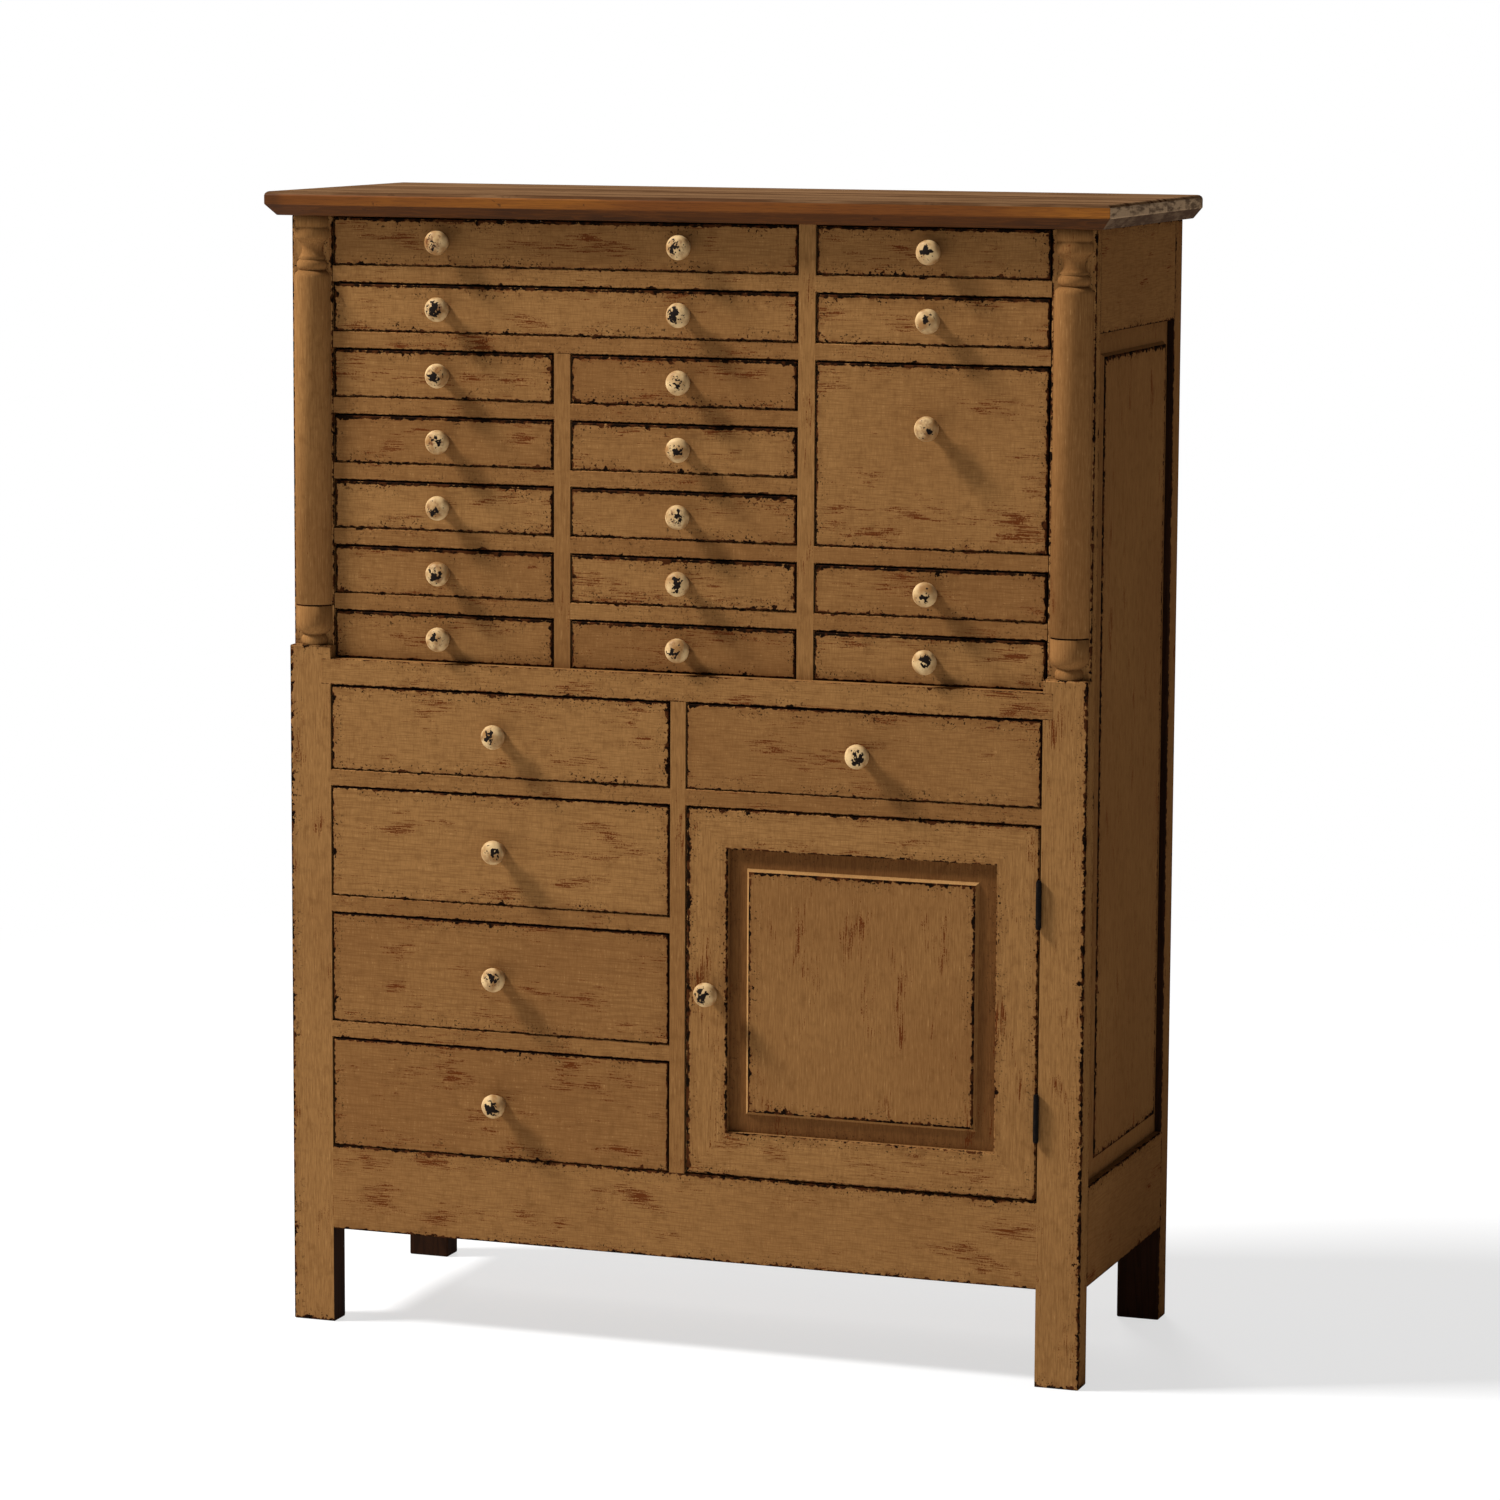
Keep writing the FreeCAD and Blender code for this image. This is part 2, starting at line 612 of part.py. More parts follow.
def drawers():
    def small(name, column, row):
        z = (row_floor(row), row_ceiling(row))
        drawer(name, column, z, UPPER_FRONT, [(middle_of(column), middle_of(z))])

    for row in WIDE_ROWS:
        z = (row_floor(row), row_ceiling(row))
        places = [(middle_of(column), middle_of(z)) for column in (LEFT, MIDDLE)]
        drawer(f"row{row}_wide", WIDE, z, UPPER_FRONT, places)
    for row in NARROW_ROWS:
        small(f"row{row}_left", LEFT, row)
        small(f"row{row}_middle", MIDDLE, row)
    for row in RIGHT_ROWS:
        small(f"row{row}_right", RIGHT, row)
    tall = (row_floor(TALL_ROWS[-1]), row_ceiling(TALL_ROWS[0]))
    tall_knob = f"({tall[1]} - dim.tall_knob_drop)"
    drawer("tall_right", RIGHT, tall, UPPER_FRONT, [(middle_of(RIGHT), tall_knob)])
    for place in range(1, DEEP_DRAWERS + 1):
        z = (deep_floor(place), f"({deep_floor(place)} + dim.deep_opening)")
        number = DEEP_DRAWERS + 2 - place
        drawer(f"base_left_{number}", BASE_LEFT, z, FRONT, [(middle_of(BASE_LEFT), middle_of(z))])
    z = (MIDDLE_FLOOR, WAIST_LOW)
    drawer("base_left_1", BASE_LEFT, z, FRONT, [(middle_of(BASE_LEFT), middle_of(z))])
    drawer("base_right_1", BASE_RIGHT, z, FRONT, [(middle_of(BASE_RIGHT), middle_of(z))])


# Cupboard door, its hinges and its catch

HINGE_GAP = "(2 * dim.leaf_thickness + dim.leaf_gap)"
DOOR_X = (f"({BASE_RIGHT[0]} + dim.front_gap)", f"({INNER} - {HINGE_GAP})")
DOOR_Y = (FRONT, f"({FRONT} + dim.door_thickness)")
DOOR_Z = inset((APRON_TOP, DOOR_CEILING), "dim.front_gap")
PANEL_X = inset(DOOR_X, "dim.door_stile")
PANEL_Z = (f"({DOOR_Z[0]} + dim.door_bottom_rail)", f"({DOOR_Z[1]} - dim.door_top_rail)")
TONGUE_Y = (f"({FRONT} + {TONGUE_FACE})", f"({FRONT} + {TONGUE_BACK})")
PIN_X = f"({INNER} - {HINGE_GAP} / 2)"
PIN_Y = f"({FRONT} - dim.knuckle_radius - dim.knuckle_stand_off)"
HINGE_CENTRES = (f"({DOOR_Z[1]} - dim.hinge_top_drop)", f"({DOOR_Z[0]} + dim.hinge_bottom_rise)")


def door_frame():
    groove_z = outset(PANEL_Z, "dim.groove_depth")
    left_groove = (f"({PANEL_X[0]} - dim.groove_depth)", PANEL_X[0])
    right_groove = (PANEL_X[1], f"({PANEL_X[1]} + dim.groove_depth)")
    low_groove = (f"({PANEL_Z[0]} - dim.groove_depth)", PANEL_Z[0])
    high_groove = (PANEL_Z[1], f"({PANEL_Z[1]} + dim.groove_depth)")
    members = (
        ("left_stile", (DOOR_X[0], PANEL_X[0]), DOOR_Z, left_groove, groove_z),
        ("right_stile", (PANEL_X[1], DOOR_X[1]), DOOR_Z, right_groove, groove_z),
        ("door_low_rail", PANEL_X, (DOOR_Z[0], PANEL_Z[0]), PANEL_X, low_groove),
        ("door_high_rail", PANEL_X, (PANEL_Z[1], DOOR_Z[1]), PANEL_X, high_groove),
    )
    pieces = []
    for name, x, z, cut_x, cut_z in members:
        pieces.append(cut_away(plank(name, x, DOOR_Y, z), plank(f"{name}_groove", cut_x, TONGUE_Y, cut_z)))
    node("door_frame", pieces)


def door_panel():
    slab = plank("door_slab", outset(PANEL_X, TONGUE_REACH), TONGUE_Y, outset(PANEL_Z, TONGUE_REACH))
    opening = (PANEL_X, PANEL_Z)
    rim = [inset(limits, "(dim.door_bevel - dim.panel_step_width)") for limits in opening]
    field = [inset(limits, "dim.door_bevel") for limits in opening]
    rim_y = f"({FRONT} + {RIM_FACE})"
    slope = frustum("door_slope", (rim_y, TONGUE_Y[0]), rim, opening)
    step = frustum("door_step", (f"({FRONT} + {FIELD_FACE})", rim_y), field, rim)
    node("door_panel", [fused("door_panel_whole", [slab, slope, step])])


def door_knob():
    place = knob("door_knob_turned", f"({DOOR_X[0]} + dim.door_knob_inset)", FRONT, middle_of(DOOR_Z))
    node("door_knob", [place])


def hinge_leaf(name, x, centre, spans):
    """A plate on an edge with knuckles round the pin over the given spans of its height."""
    low = f"({centre} - dim.hinge_length / 2)"
    high = f"({centre} + dim.hinge_length / 2)"
    solids = [plank(f"{name}_plate", x, (FRONT, f"({FRONT} + dim.leaf_depth)"), (low, high))]
    for span in spans:
        solids.append(plank(f"{name}_tab", x, (PIN_Y, FRONT), span))
        solids.append(rod(f"{name}_knuckle", "dim.knuckle_radius", PIN_X, PIN_Y, span))
    bore = rod(f"{name}_bore", "(dim.pin_radius + dim.pin_clearance)", PIN_X, PIN_Y, (low, high))
    return cut_away(fused(f"{name}_whole", solids), bore)


def hinges():
    post_x = (f"({INNER} - dim.leaf_thickness)", INNER)
    door_x = (DOOR_X[1], f"({DOOR_X[1]} + dim.leaf_thickness)")
    post_side = []
    door_side = []
    for number, centre in enumerate(HINGE_CENTRES, 1):
        low = f"({centre} - dim.hinge_length / 2)"
        high = f"({centre} + dim.hinge_length / 2)"
        third = "(dim.hinge_length / 6)"
        middle_span = inset((f"({centre} - {third})", f"({centre} + {third})"), "dim.knuckle_gap")
        end_spans = [(low, f"({centre} - {third})"), (f"({centre} + {third})", high)]
        post_side.append(hinge_leaf(f"post_leaf_{number}", post_x, centre, end_spans))
        door_side.append(hinge_leaf(f"door_leaf_{number}", door_x, centre, [middle_span]))
        foot = (f"({low} - dim.pin_head_height)", low)
        head = (high, f"({high} + dim.pin_head_height)")
        pin = [
            rod(f"pin_{number}", "dim.pin_radius", PIN_X, PIN_Y, (low, high)),
            rod(f"pin_{number}_foot", "dim.pin_head_radius", PIN_X, PIN_Y, foot),
            rod(f"pin_{number}_head", "dim.pin_head_radius", PIN_X, PIN_Y, head),
        ]
        post_side.append(fused(f"pin_{number}_whole", pin))
    node("post_hinge_leaves", post_side)
    catch_left = f"({DOOR_X[0]} + dim.catch_inset)"
    catch_x = (catch_left, f"({catch_left} + dim.catch_width)")
    board_under = f"({MIDDLE_FLOOR} - dim.board_thickness)"
    catch_z = (f"({board_under} - dim.catch_height)", board_under)
    plate_y = (DOOR_Y[1], f"({DOOR_Y[1]} + dim.catch_plate)")
    door_side.append(plank("catch_plate", catch_x, plate_y, (catch_z[0], DOOR_Z[1])))
    node("door_ironwork", door_side)
    catch_front = f"max({RAIL_BACK}; {plate_y[1]} + dim.catch_play)"
    catch_y = (catch_front, f"({catch_front} + dim.catch_depth)")
    node("door_catch", [plank("catch_case", catch_x, catch_y, catch_z)])


top_board()
corner_posts()
side_rails()
side_panels()
front_rails()
inner_walls()
case_boards()
drawer_runners()
back_boards()
corner_columns()
drawers()
door_frame()
door_panel()
door_knob()
hinges()
doc.recompute()

for item in doc.Objects:
    if any(word in item.State for word in ("Invalid", "Error")):
        raise RuntimeError(f"{item.Name} failed: {item.State}")
for item in nodes:
    if item.Shape.isNull() or not item.Shape.isValid():
        raise RuntimeError(f"{item.Label} has no valid shape")

os.makedirs("parts", exist_ok=True)
for item in nodes:
    item.Shape.exportStep(os.path.join("parts", item.Label + ".step"))
print(len(nodes), "nodes written")
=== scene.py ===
"""Looks of the painted multi-drawer chest: worn ochre paint, a stained top, turned knobs and half columns.

Metres, +X to the right, +Y to the back, +Z up, origin on the floor under the middle of the chest.
"""
import math
import random

import bmesh
import bpy
from mathutils import Matrix, Vector


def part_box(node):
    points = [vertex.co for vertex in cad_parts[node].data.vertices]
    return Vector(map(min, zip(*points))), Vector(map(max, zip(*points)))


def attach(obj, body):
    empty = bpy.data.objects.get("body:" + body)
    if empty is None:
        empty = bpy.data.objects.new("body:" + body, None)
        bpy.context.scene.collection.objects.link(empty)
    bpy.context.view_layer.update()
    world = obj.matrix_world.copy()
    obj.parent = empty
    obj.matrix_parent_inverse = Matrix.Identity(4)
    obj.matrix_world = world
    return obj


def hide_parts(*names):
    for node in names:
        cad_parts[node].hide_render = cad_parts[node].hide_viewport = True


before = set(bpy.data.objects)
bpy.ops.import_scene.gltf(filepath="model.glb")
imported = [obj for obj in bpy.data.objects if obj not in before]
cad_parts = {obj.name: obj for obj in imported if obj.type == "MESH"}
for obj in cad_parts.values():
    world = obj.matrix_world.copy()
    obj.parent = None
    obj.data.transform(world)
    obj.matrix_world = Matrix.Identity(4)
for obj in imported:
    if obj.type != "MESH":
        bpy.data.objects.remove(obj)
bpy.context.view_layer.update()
chance = random.Random(22)

# Sizes that a node's box doesn't give: gaps

FRONT_GAP = 0.002
FLOOR_GAP = 0.001
REST_GAP = 0.0003
DRAWER_SIDE_GAP = 0.0025
DRAWER_TOP_GAP = 0.005

# Boards and rails

FRONT_THICKNESS = 0.020
DRAWER_BOARD = 0.010
DRAWER_BOTTOM = 0.005
RAIL_HEIGHT = 0.021
RAIL_DEPTH = 0.022
WAIST_LAP = 0.013
WAIST_PROUD = 0.0002
BOARD_THICKNESS = 0.018
LINER_THICKNESS = 0.012
RUNNER_WIDTH = 0.014
RUNNER_HEIGHT = 0.018
SIDE_RAIL_THICKNESS = 0.022
PAINTED_DEPTH = 0.003
BACK_BOARDS = 5

# Raised panels and the door

SIDE_BEVEL = 0.030
DOOR_BEVEL = 0.028
DOOR_STILE = 0.054
TONGUE_REACH = 0.007
TONGUE_DEPTH = 0.009
TONGUE_THICKNESS = 0.007
FIELD_RECESS = 0.002
STEP_WIDTH = 0.0045
STEP_RISE = 0.0055
SLOPE_RISE = TONGUE_DEPTH - FIELD_RECESS - STEP_RISE

# Top

TOP_BEVEL_HEIGHT = 0.014
TOP_BEVEL_INSET = 0.012
TOP_PLANKS = 5
SEAM = 0.0008

# Roundings

EASE = 0.0009
STEP_ROUND = 0.0016
FRONT_ROUND = 0.0018
POST_ROUND = 0.002
DOOR_ROUND = 0.002
PLANK_ROUND = 0.0015
TOP_ROUND = 0.0055

# Turned outlines: the radius and height of each corner, and the rise of the arc to the next one

KNOB_REACH = 0.029
KNOB_ARC_STEPS = 6
KNOB_TURNS = 40
KNOB_OUTLINE = [
    (0, 0, 0), (0.0095, 0, 0), (0.0095, 0.003, -0.0008), (0.0073, 0.009, -0.001), (0.0139, 0.015, 0.0022),
    (0.0124, 0.026, 0.0002), (0.0066, 0.0282, 0.0002), (0, KNOB_REACH, 0),
]
COLUMN_SETBACK = 0.020
COLUMN_ARC_STEPS = 8
COLUMN_TURNS = 56
COLUMN_FOOT = [
    (0, 0, 0), (0.0173, 0, 0.0026), (0.0150, 0.0135, 0), (0.0158, 0.0140, 0.0036), (0.025, 0.0305, 0),
]
COLUMN_GROOVE = [(0.025, 0.050, 0), (0.023, 0.051, 0), (0.025, 0.052, 0)]
COLUMN_CAP = [
    (0.025, -0.0785, 0.0026), (0.0168, -0.069, 0.0045), (0.0175, -0.0550, 0), (0.0195, -0.0535, -0.0062),
    (0.023, -0.029, 0.0013), (0.023, -0.0165, 0), (0.0215, -0.015, 0), (0.023, -0.0135, 0), (0.023, 0, 0),
    (0, 0, 0),
]
GROOVE_LOW = COLUMN_GROOVE[0][1]
GROOVE_HIGH = COLUMN_GROOVE[-1][1]

# Drawers with no rail or no runners of their own below them

LOWEST_ROW = ["drawer_row7_left", "drawer_row7_middle", "drawer_row7_right"]
WITHOUT_RAIL = [*LOWEST_ROW, "drawer_base_left_4"]
WITHOUT_RUNNERS = [*WITHOUT_RAIL, "drawer_base_right_1"]

# How far paint reaches past a board's edges, or falls short of them: upright, lowest and highest edges

BRIDGED = 0.0004
UPPER_LOST = (-0.0010, -0.0005, -0.0024)
BASE_LOST = (-0.0004, 0, -0.0004)
LEDGE_KEPT = 0.003
STILE_LOST = 0.0026

# Wear, where 1 is usual: how chipped a piece is along its edges, how scuffed, or both

DRAWER_CHIPS = 1.0
ROW_SCUFFS = 1.2
LARGE_SCUFFS = 1.05
FOOT_WEAR = (2.4, 0.9)
POST_WEAR = (1.5, 0.9)
UPPER_POST_WEAR = (1.4, 0.7)
REAR_POST_CHIPS = 1.5
SIDE_RAIL_CHIPS = 1.3
APRON_WEAR = (1.7, 1.2)
WAIST_CHIPS = 0.7
RAIL_WEAR = (0.5, 0.8)
COLUMN_WEAR = (0.3, 0.35)
SIDE_PANEL_CHIPS = 2.8
DOOR_PANEL_CHIPS = 1.6
FIELD_SCUFFS = 0.8
PANEL_BORDER_WEAR = (0.6, 0.5)
KNOB_STILE_WEAR = (1.6, 1.0)
HINGE_STILE_WEAR = (1.1, 1.0)
LOW_RAIL_WEAR = (1.0, 1.0)
HIGH_RAIL_WEAR = (1.3, 1.0)
KNOB_DOTS = 1.0
KNOB_STAINS = (0.0, 0.0, 0.6, 1.0)
BLOT_REACH = 0.004
BLOT_SIZES = (0.0075, 0.0120)

# Places read from the frame

case_low, case_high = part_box("corner_posts")
half = case_high.x
front = case_low.y
rear = case_high.y
case_top = case_high.z
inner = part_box("case_boards")[1].x
post_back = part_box("side_rails")[0].y
rear_post_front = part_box("side_rails")[1].y
leg_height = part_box("side_rails")[0].z
upper_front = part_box("drawer_row1_wide")[0].y
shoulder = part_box("corner_columns")[0].z
back_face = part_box("back_boards")[0].y
back_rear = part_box("back_boards")[1].y
apron_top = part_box("drawer_base_left_4")[0].z - REST_GAP
waist_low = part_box("drawer_base_left_1")[1].z + FRONT_GAP
waist_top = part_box("drawer_row7_left")[0].z - REST_GAP
drawer_nodes = [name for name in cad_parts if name.startswith("drawer_") and name != "drawer_runners"]
drawer_nodes.sort()


def opening(node):
    """The opening in the front that a drawer fills: lowest and highest X, lowest and highest Z."""
    low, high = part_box(node)
    return low.x - FRONT_GAP, high.x + FRONT_GAP, low.z - REST_GAP, high.z + FRONT_GAP


# Shader maths

class Shade:
    """A socket of a material's node tree. Python operators on it add Math or Vector Math nodes."""

    def __init__(self, tree, socket):
        self.tree = tree
        self.socket = socket

    def node(self, kind, settings=None, inputs=None, output=0):
        """Add any node: first its settings, then the values or links of its sockets."""
        made = self.tree.nodes.new(kind)
        for name, setting in (settings or {}).items():
            setattr(made, name, setting)
        for key, given in (inputs or {}).items():
            if isinstance(given, Shade):
                self.tree.links.new(given.socket, made.inputs[key])
            else:
                made.inputs[key].default_value = given
        return Shade(self.tree, made.outputs[output])

    def maths(self, operation, *terms):
        """Add a Math node, or a Vector Math node where any of the terms is a vector."""
        kinds = [t.socket.type for t in terms if isinstance(t, Shade)]
        wide = "VECTOR" in kinds or any(isinstance(t, Vector) for t in terms)
        if wide:
            terms = [t if isinstance(t, (Shade, Vector)) else Vector((t, t, t)) for t in terms]
        kind = "ShaderNodeVectorMath" if wide else "ShaderNodeMath"
        return self.node(kind, {"operation": operation}, dict(enumerate(terms)))

    def __add__(self, other):
        return self.maths("ADD", self, other)

    __radd__ = __add__

    def __sub__(self, other):
        return self.maths("SUBTRACT", self, other)

    def __rsub__(self, other):
        return self.maths("SUBTRACT", other, self)

    def __mul__(self, other):
        return self.maths("MULTIPLY", self, other)

    __rmul__ = __mul__

    def least(self, other):
        return self.maths("MINIMUM", self, other)

    def most(self, other):
        return self.maths("MAXIMUM", self, other)

    def dot(self, other):
        return self.node("ShaderNodeVectorMath", {"operation": "DOT_PRODUCT"}, {0: self, 1: other}, "Value")

    def root(self):
        return self.maths("SQRT", self)

    def fraction(self):
        return self.maths("FRACT", self)

    def parts(self):
        """The three numbers of a vector."""
        split = self.node("ShaderNodeSeparateXYZ", None, {0: self}).socket.node
        return [Shade(self.tree, socket) for socket in split.outputs]

    def step(self, low, high):
        """0 below low, 1 above high, and a smooth rise between them."""
        limits = {0: self, 1: low, 2: high}
        return self.node("ShaderNodeMapRange", {"interpolation_type": "SMOOTHSTEP"}, limits)

    def noise(self, scale, detail=2.0, roughness=0.5):
        return self.node("ShaderNodeTexNoise", None,
                         {"Vector": self, "Scale": scale, "Detail": detail, "Roughness": roughness})

    def cells(self, scale):
        """Distance to the nearest of scattered points."""
        return self.node("ShaderNodeTexVoronoi", None, {"Vector": self, "Scale": scale}, "Distance")

    def blend(self, under, over):
        """The colour over, laid on the colour under where this mask is 1."""
        return self.node("ShaderNodeMix", {"data_type": "RGBA"}, {0: self, 6: under, 7: over}, 2)

    def mark(self, name):
        """What a face was marked with under a name."""
        return self.node("ShaderNodeAttribute", {"attribute_name": name}, None, "Vector")

    def bump(self, strength, depth):
        return self.node("ShaderNodeBump", None, {"Height": self, "Strength": strength, "Distance": depth})


def srgb(red, green, blue):
    """A colour as a screen shows it, 0 to 255, in the shader's linear numbers."""
    def linear(part):
        share = part / 255
        return share / 12.92 if share <= 0.04045 else ((share + 0.055) / 1.055) ** 2.4

    return (linear(red), linear(green), linear(blue), 1.0)


def new_finish(name, **constants):
    """A material with constant shader sockets, its shader, and a point's place on the piece in metres."""
    material = bpy.data.materials.new(name)
    material.use_nodes = True
    tree = material.node_tree
    shader = tree.nodes["Principled BSDF"]
    for socket, value in constants.items():
        shader.inputs[socket.replace("_", " ")].default_value = value
    place = Shade(tree, tree.nodes.new("ShaderNodeTexCoord").outputs["Object"])
    return material, shader, place


def feed(shader, **sources):
    """Link sources to the shader's sockets."""
    for socket, source in sources.items():
        source.tree.links.new(source.socket, shader.inputs[socket.replace("_", " ")])


# Finishes

PAINT = srgb(127, 88, 50)
PAINT_PALE = srgb(144, 104, 61)
PAINT_DEEP = srgb(100, 65, 34)
PAINT_FLECK = srgb(172, 132, 84)
# A darker, redder copy of the paint for the sides of the case: painted shade
SIDE_SHADE_PAINT = srgb(122, 83, 47)
SIDE_SHADE_PALE = srgb(136, 96, 55)
SIDE_SHADE_DEEP = srgb(95, 62, 32)
# Darker paint for the door panel's sloping recess: partly a dark glaze, partly painted shade
RECESS_GLAZE_AND_SHADE = srgb(106, 69, 37)
RECESS_GLAZE_AND_SHADE_PALE = srgb(118, 79, 43)
RECESS_GLAZE_AND_SHADE_DEEP = srgb(78, 47, 24)
# Paler paint for the upper and left faces of the door panel's raised step: a painted highlight
STEP_HIGHLIGHT_PAINT = srgb(152, 112, 67)
STEP_HIGHLIGHT_PALE = srgb(168, 128, 80)
SCUFF_HALO = srgb(116, 70, 39)
SCUFF = srgb(88, 42, 17)
PRIMER = srgb(64, 34, 16)
CHIP = srgb(20, 12, 7)
KNOB_CREAM = srgb(204, 172, 124)
KNOB_SHADE = srgb(138, 101, 60)
STAIN = srgb(104, 59, 25)
STAIN_GOLD = srgb(138, 84, 30)
STAIN_DARK = srgb(54, 33, 20)
TOP_BROWN = srgb(66, 40, 23)
TOP_PALE = srgb(130, 98, 68)
END_GREY = srgb(168, 139, 108)
END_DARK = srgb(74, 56, 44)
PINE = srgb(190, 148, 98)
PINE_DARK = srgb(140, 95, 52)
BACK_PINE = srgb(112, 76, 44)
BACK_DARK = srgb(70, 44, 24)
# Near-black wood for the legs' inner faces, the rear posts' front and inner faces and the drawer fronts' top
# and side edges: unpainted wood, darkened further as painted shade
DARK_WOOD_SHADE_BROWN = srgb(46, 27, 16)
DARK_WOOD_SHADE_DARK = srgb(24, 14, 9)
IRON = srgb(10, 7, 6)
IRON_WORN = srgb(30, 22, 17)
CATCH = srgb(58, 50, 42)
UPRIGHT_BRUSH = Vector((1, 1, 1 / 6))
ACROSS_END = Vector((0, 1, 0))
OWN_STRETCH = Vector((31.7, 17.3, 53.9))
WOOD_GLOSS = 0.25
DULL_GLOSS = 0.02


def edge_distances(place):
    """How far a point of a board's face is from the nearest edge of that face, and from its next edge."""
    x, y, z = (place - place.mark("board_low")).least(place.mark("board_high") - place).parts()
    wider = x.most(y)
    return x.least(y).most(wider.least(z)), wider.most(z)


def own_place(place):
    """A place in the board's own stretch of the patterns, the board's number and its two traits."""
    seed, first, second = place.mark("board_traits").parts()
    return place + seed * OWN_STRETCH, seed, first, second


def drawn_out(spot, grain, stretch):
    """The place with its run along the grain shortened, which draws a pattern out along the grain."""
    return spot - spot.dot(grain) * (1 - 1 / stretch) * grain


def painted_wood(name, coat, pale, deep, fleck):
    """Ochre paint, brushed along the grain, scuffed in streaks and chipped to dark wood along the edges."""
    material, shader, place = new_finish(name, Specular_IOR_Level=0.0)
    edge, next_edge = edge_distances(place)
    spot, seed, chips, scuffs = own_place(place)
    grain = place.mark("board_grain")
    worn = chips.least(1.0)

    # The coat
    tone = spot.noise(5, 2, 0.5) * 0.6 + seed * 0.4
    strokes = drawn_out(spot, grain, 20).noise(700, 2, 0.6)
    weave = (spot * UPRIGHT_BRUSH).noise(500, 2, 0.6)
    mottle = spot.noise(70, 3, 0.6)
    colour = tone.step(0.25, 0.75).blend(coat, pale)
    colour = ((1 - strokes.step(0.32, 0.60)) * 0.42).blend(colour, deep)
    colour = ((1 - weave.step(0.32, 0.56)) * 0.24).blend(colour, deep)
    colour = (weave.step(0.56, 0.72) * strokes.step(0.50, 0.66) * 0.45).blend(colour, fleck)
    colour = (mottle.step(0.50, 0.75) * 0.35).blend(colour, deep)
    grime = (1 - edge.step(0.001, 0.014)) * mottle.step(0.35, 0.60) * worn
    colour = (grime * 0.35).blend(colour, deep)

    # Scuffs
    patch = drawn_out(spot, grain, 3).noise(34, 2, 0.5)
    streak = drawn_out(spot, grain, 24).noise(900, 2, 0.5) + spot.noise(500, 2, 0.5) * 0.45
    streak = streak + patch * 1.3 + scuffs * 0.15
    scuffed = streak.step(1.81, 1.85)
    colour = (streak.step(1.73, 1.84) * 0.25).blend(colour, SCUFF_HALO)
    colour = (scuffed * 0.92).blend(colour, SCUFF)

    # Chips
    run = spot.noise(15, 2, 0.55)
    ragged = spot.noise(150, 3, 0.6)
    bare = run.step(0.44, 0.60).most(1 - next_edge.step(0.006, 0.035))
    bite = bare * spot.noise(80, 3, 0.55).step(0.54, 0.74) * worn * 0.0060
    kept = edge - chips * (ragged * 0.0068 - 0.0023) - bite - spot.noise(420, 2, 0.5) * 0.0010 + 0.0005
    pits = spot.noise(340, 2, 0.5).step(0.62, 0.65) * (1 - edge.step(0.004, 0.022)) * run.step(0.40, 0.55)
    chipped = (1 - kept.step(-0.0002, 0.0003)).most(pits * worn)
    rim = (1 - kept.step(0.0003, 0.0016)) * ragged.step(0.45, 0.60) * worn
    primed = spot.noise(90, 2, 0.5).step(0.44, 0.60)
    colour = (rim * 0.60).blend(colour, SCUFF_HALO)
    colour = chipped.blend(colour, primed.blend(CHIP, PRIMER))
    height = strokes * 0.06 + weave * 0.06 - scuffed * 0.30 - chipped
    feed(shader, Base_Color=colour, Roughness=0.62 - strokes * 0.10 + chipped * 0.20,
         Normal=height.bump(0.6, 0.0006))
    return material


def knob_paint():
    """Cream paint on a turned knob, its neck darkened as painted shade, with one large black blot and a few
    small ones on its face.
    """
    material, shader, place = new_finish("knob_paint", Specular_IOR_Level=0.08)
    spot, _, dots, stains = own_place(place)
    x, out, z = (place - place.mark("board_low")).parts()
    blot_x, _, blot_z = (place - place.mark("board_high")).parts()
    _, blot_size, _ = place.mark("board_high").parts()
    from_axis = (x * x + z * z).root()
    from_blot = (blot_x * blot_x + blot_z * blot_z).root()
    face = (1 - from_axis.step(0.0110, 0.0130)) * (-1 * out).step(0.0200, 0.0215)
    ragged = spot.noise(200, 2, 0.5)
    blot = 1 - (from_blot - ragged * 0.0320 + 0.0200 - blot_size).step(-0.0002, 0.0004)
    small = spot.noise(240, 2, 0.5).step(0.64, 0.66) * dots
    black = blot.most(small) * face
    stained = spot.noise(160, 3, 0.6).step(0.48, 0.66) * face * stains
    # The neck, next to the drawer front, darkened: painted shade
    neck_shade = 1 - (-1 * out).step(0.006, 0.016)
    colour = spot.noise(60, 2, 0.5).step(0.30, 0.70).blend(PAINT_PALE, KNOB_CREAM)
    colour = (neck_shade * 0.80).blend(colour, KNOB_SHADE)
    colour = (stained * 0.75).blend(colour, SCUFF)
    colour = black.blend(colour, CHIP)
    height = spot.noise(700, 2, 0.5) * 0.15 - black
    feed(shader, Base_Color=colour, Roughness=0.46 + black * 0.3, Normal=height.bump(0.5, 0.0004))
    return material


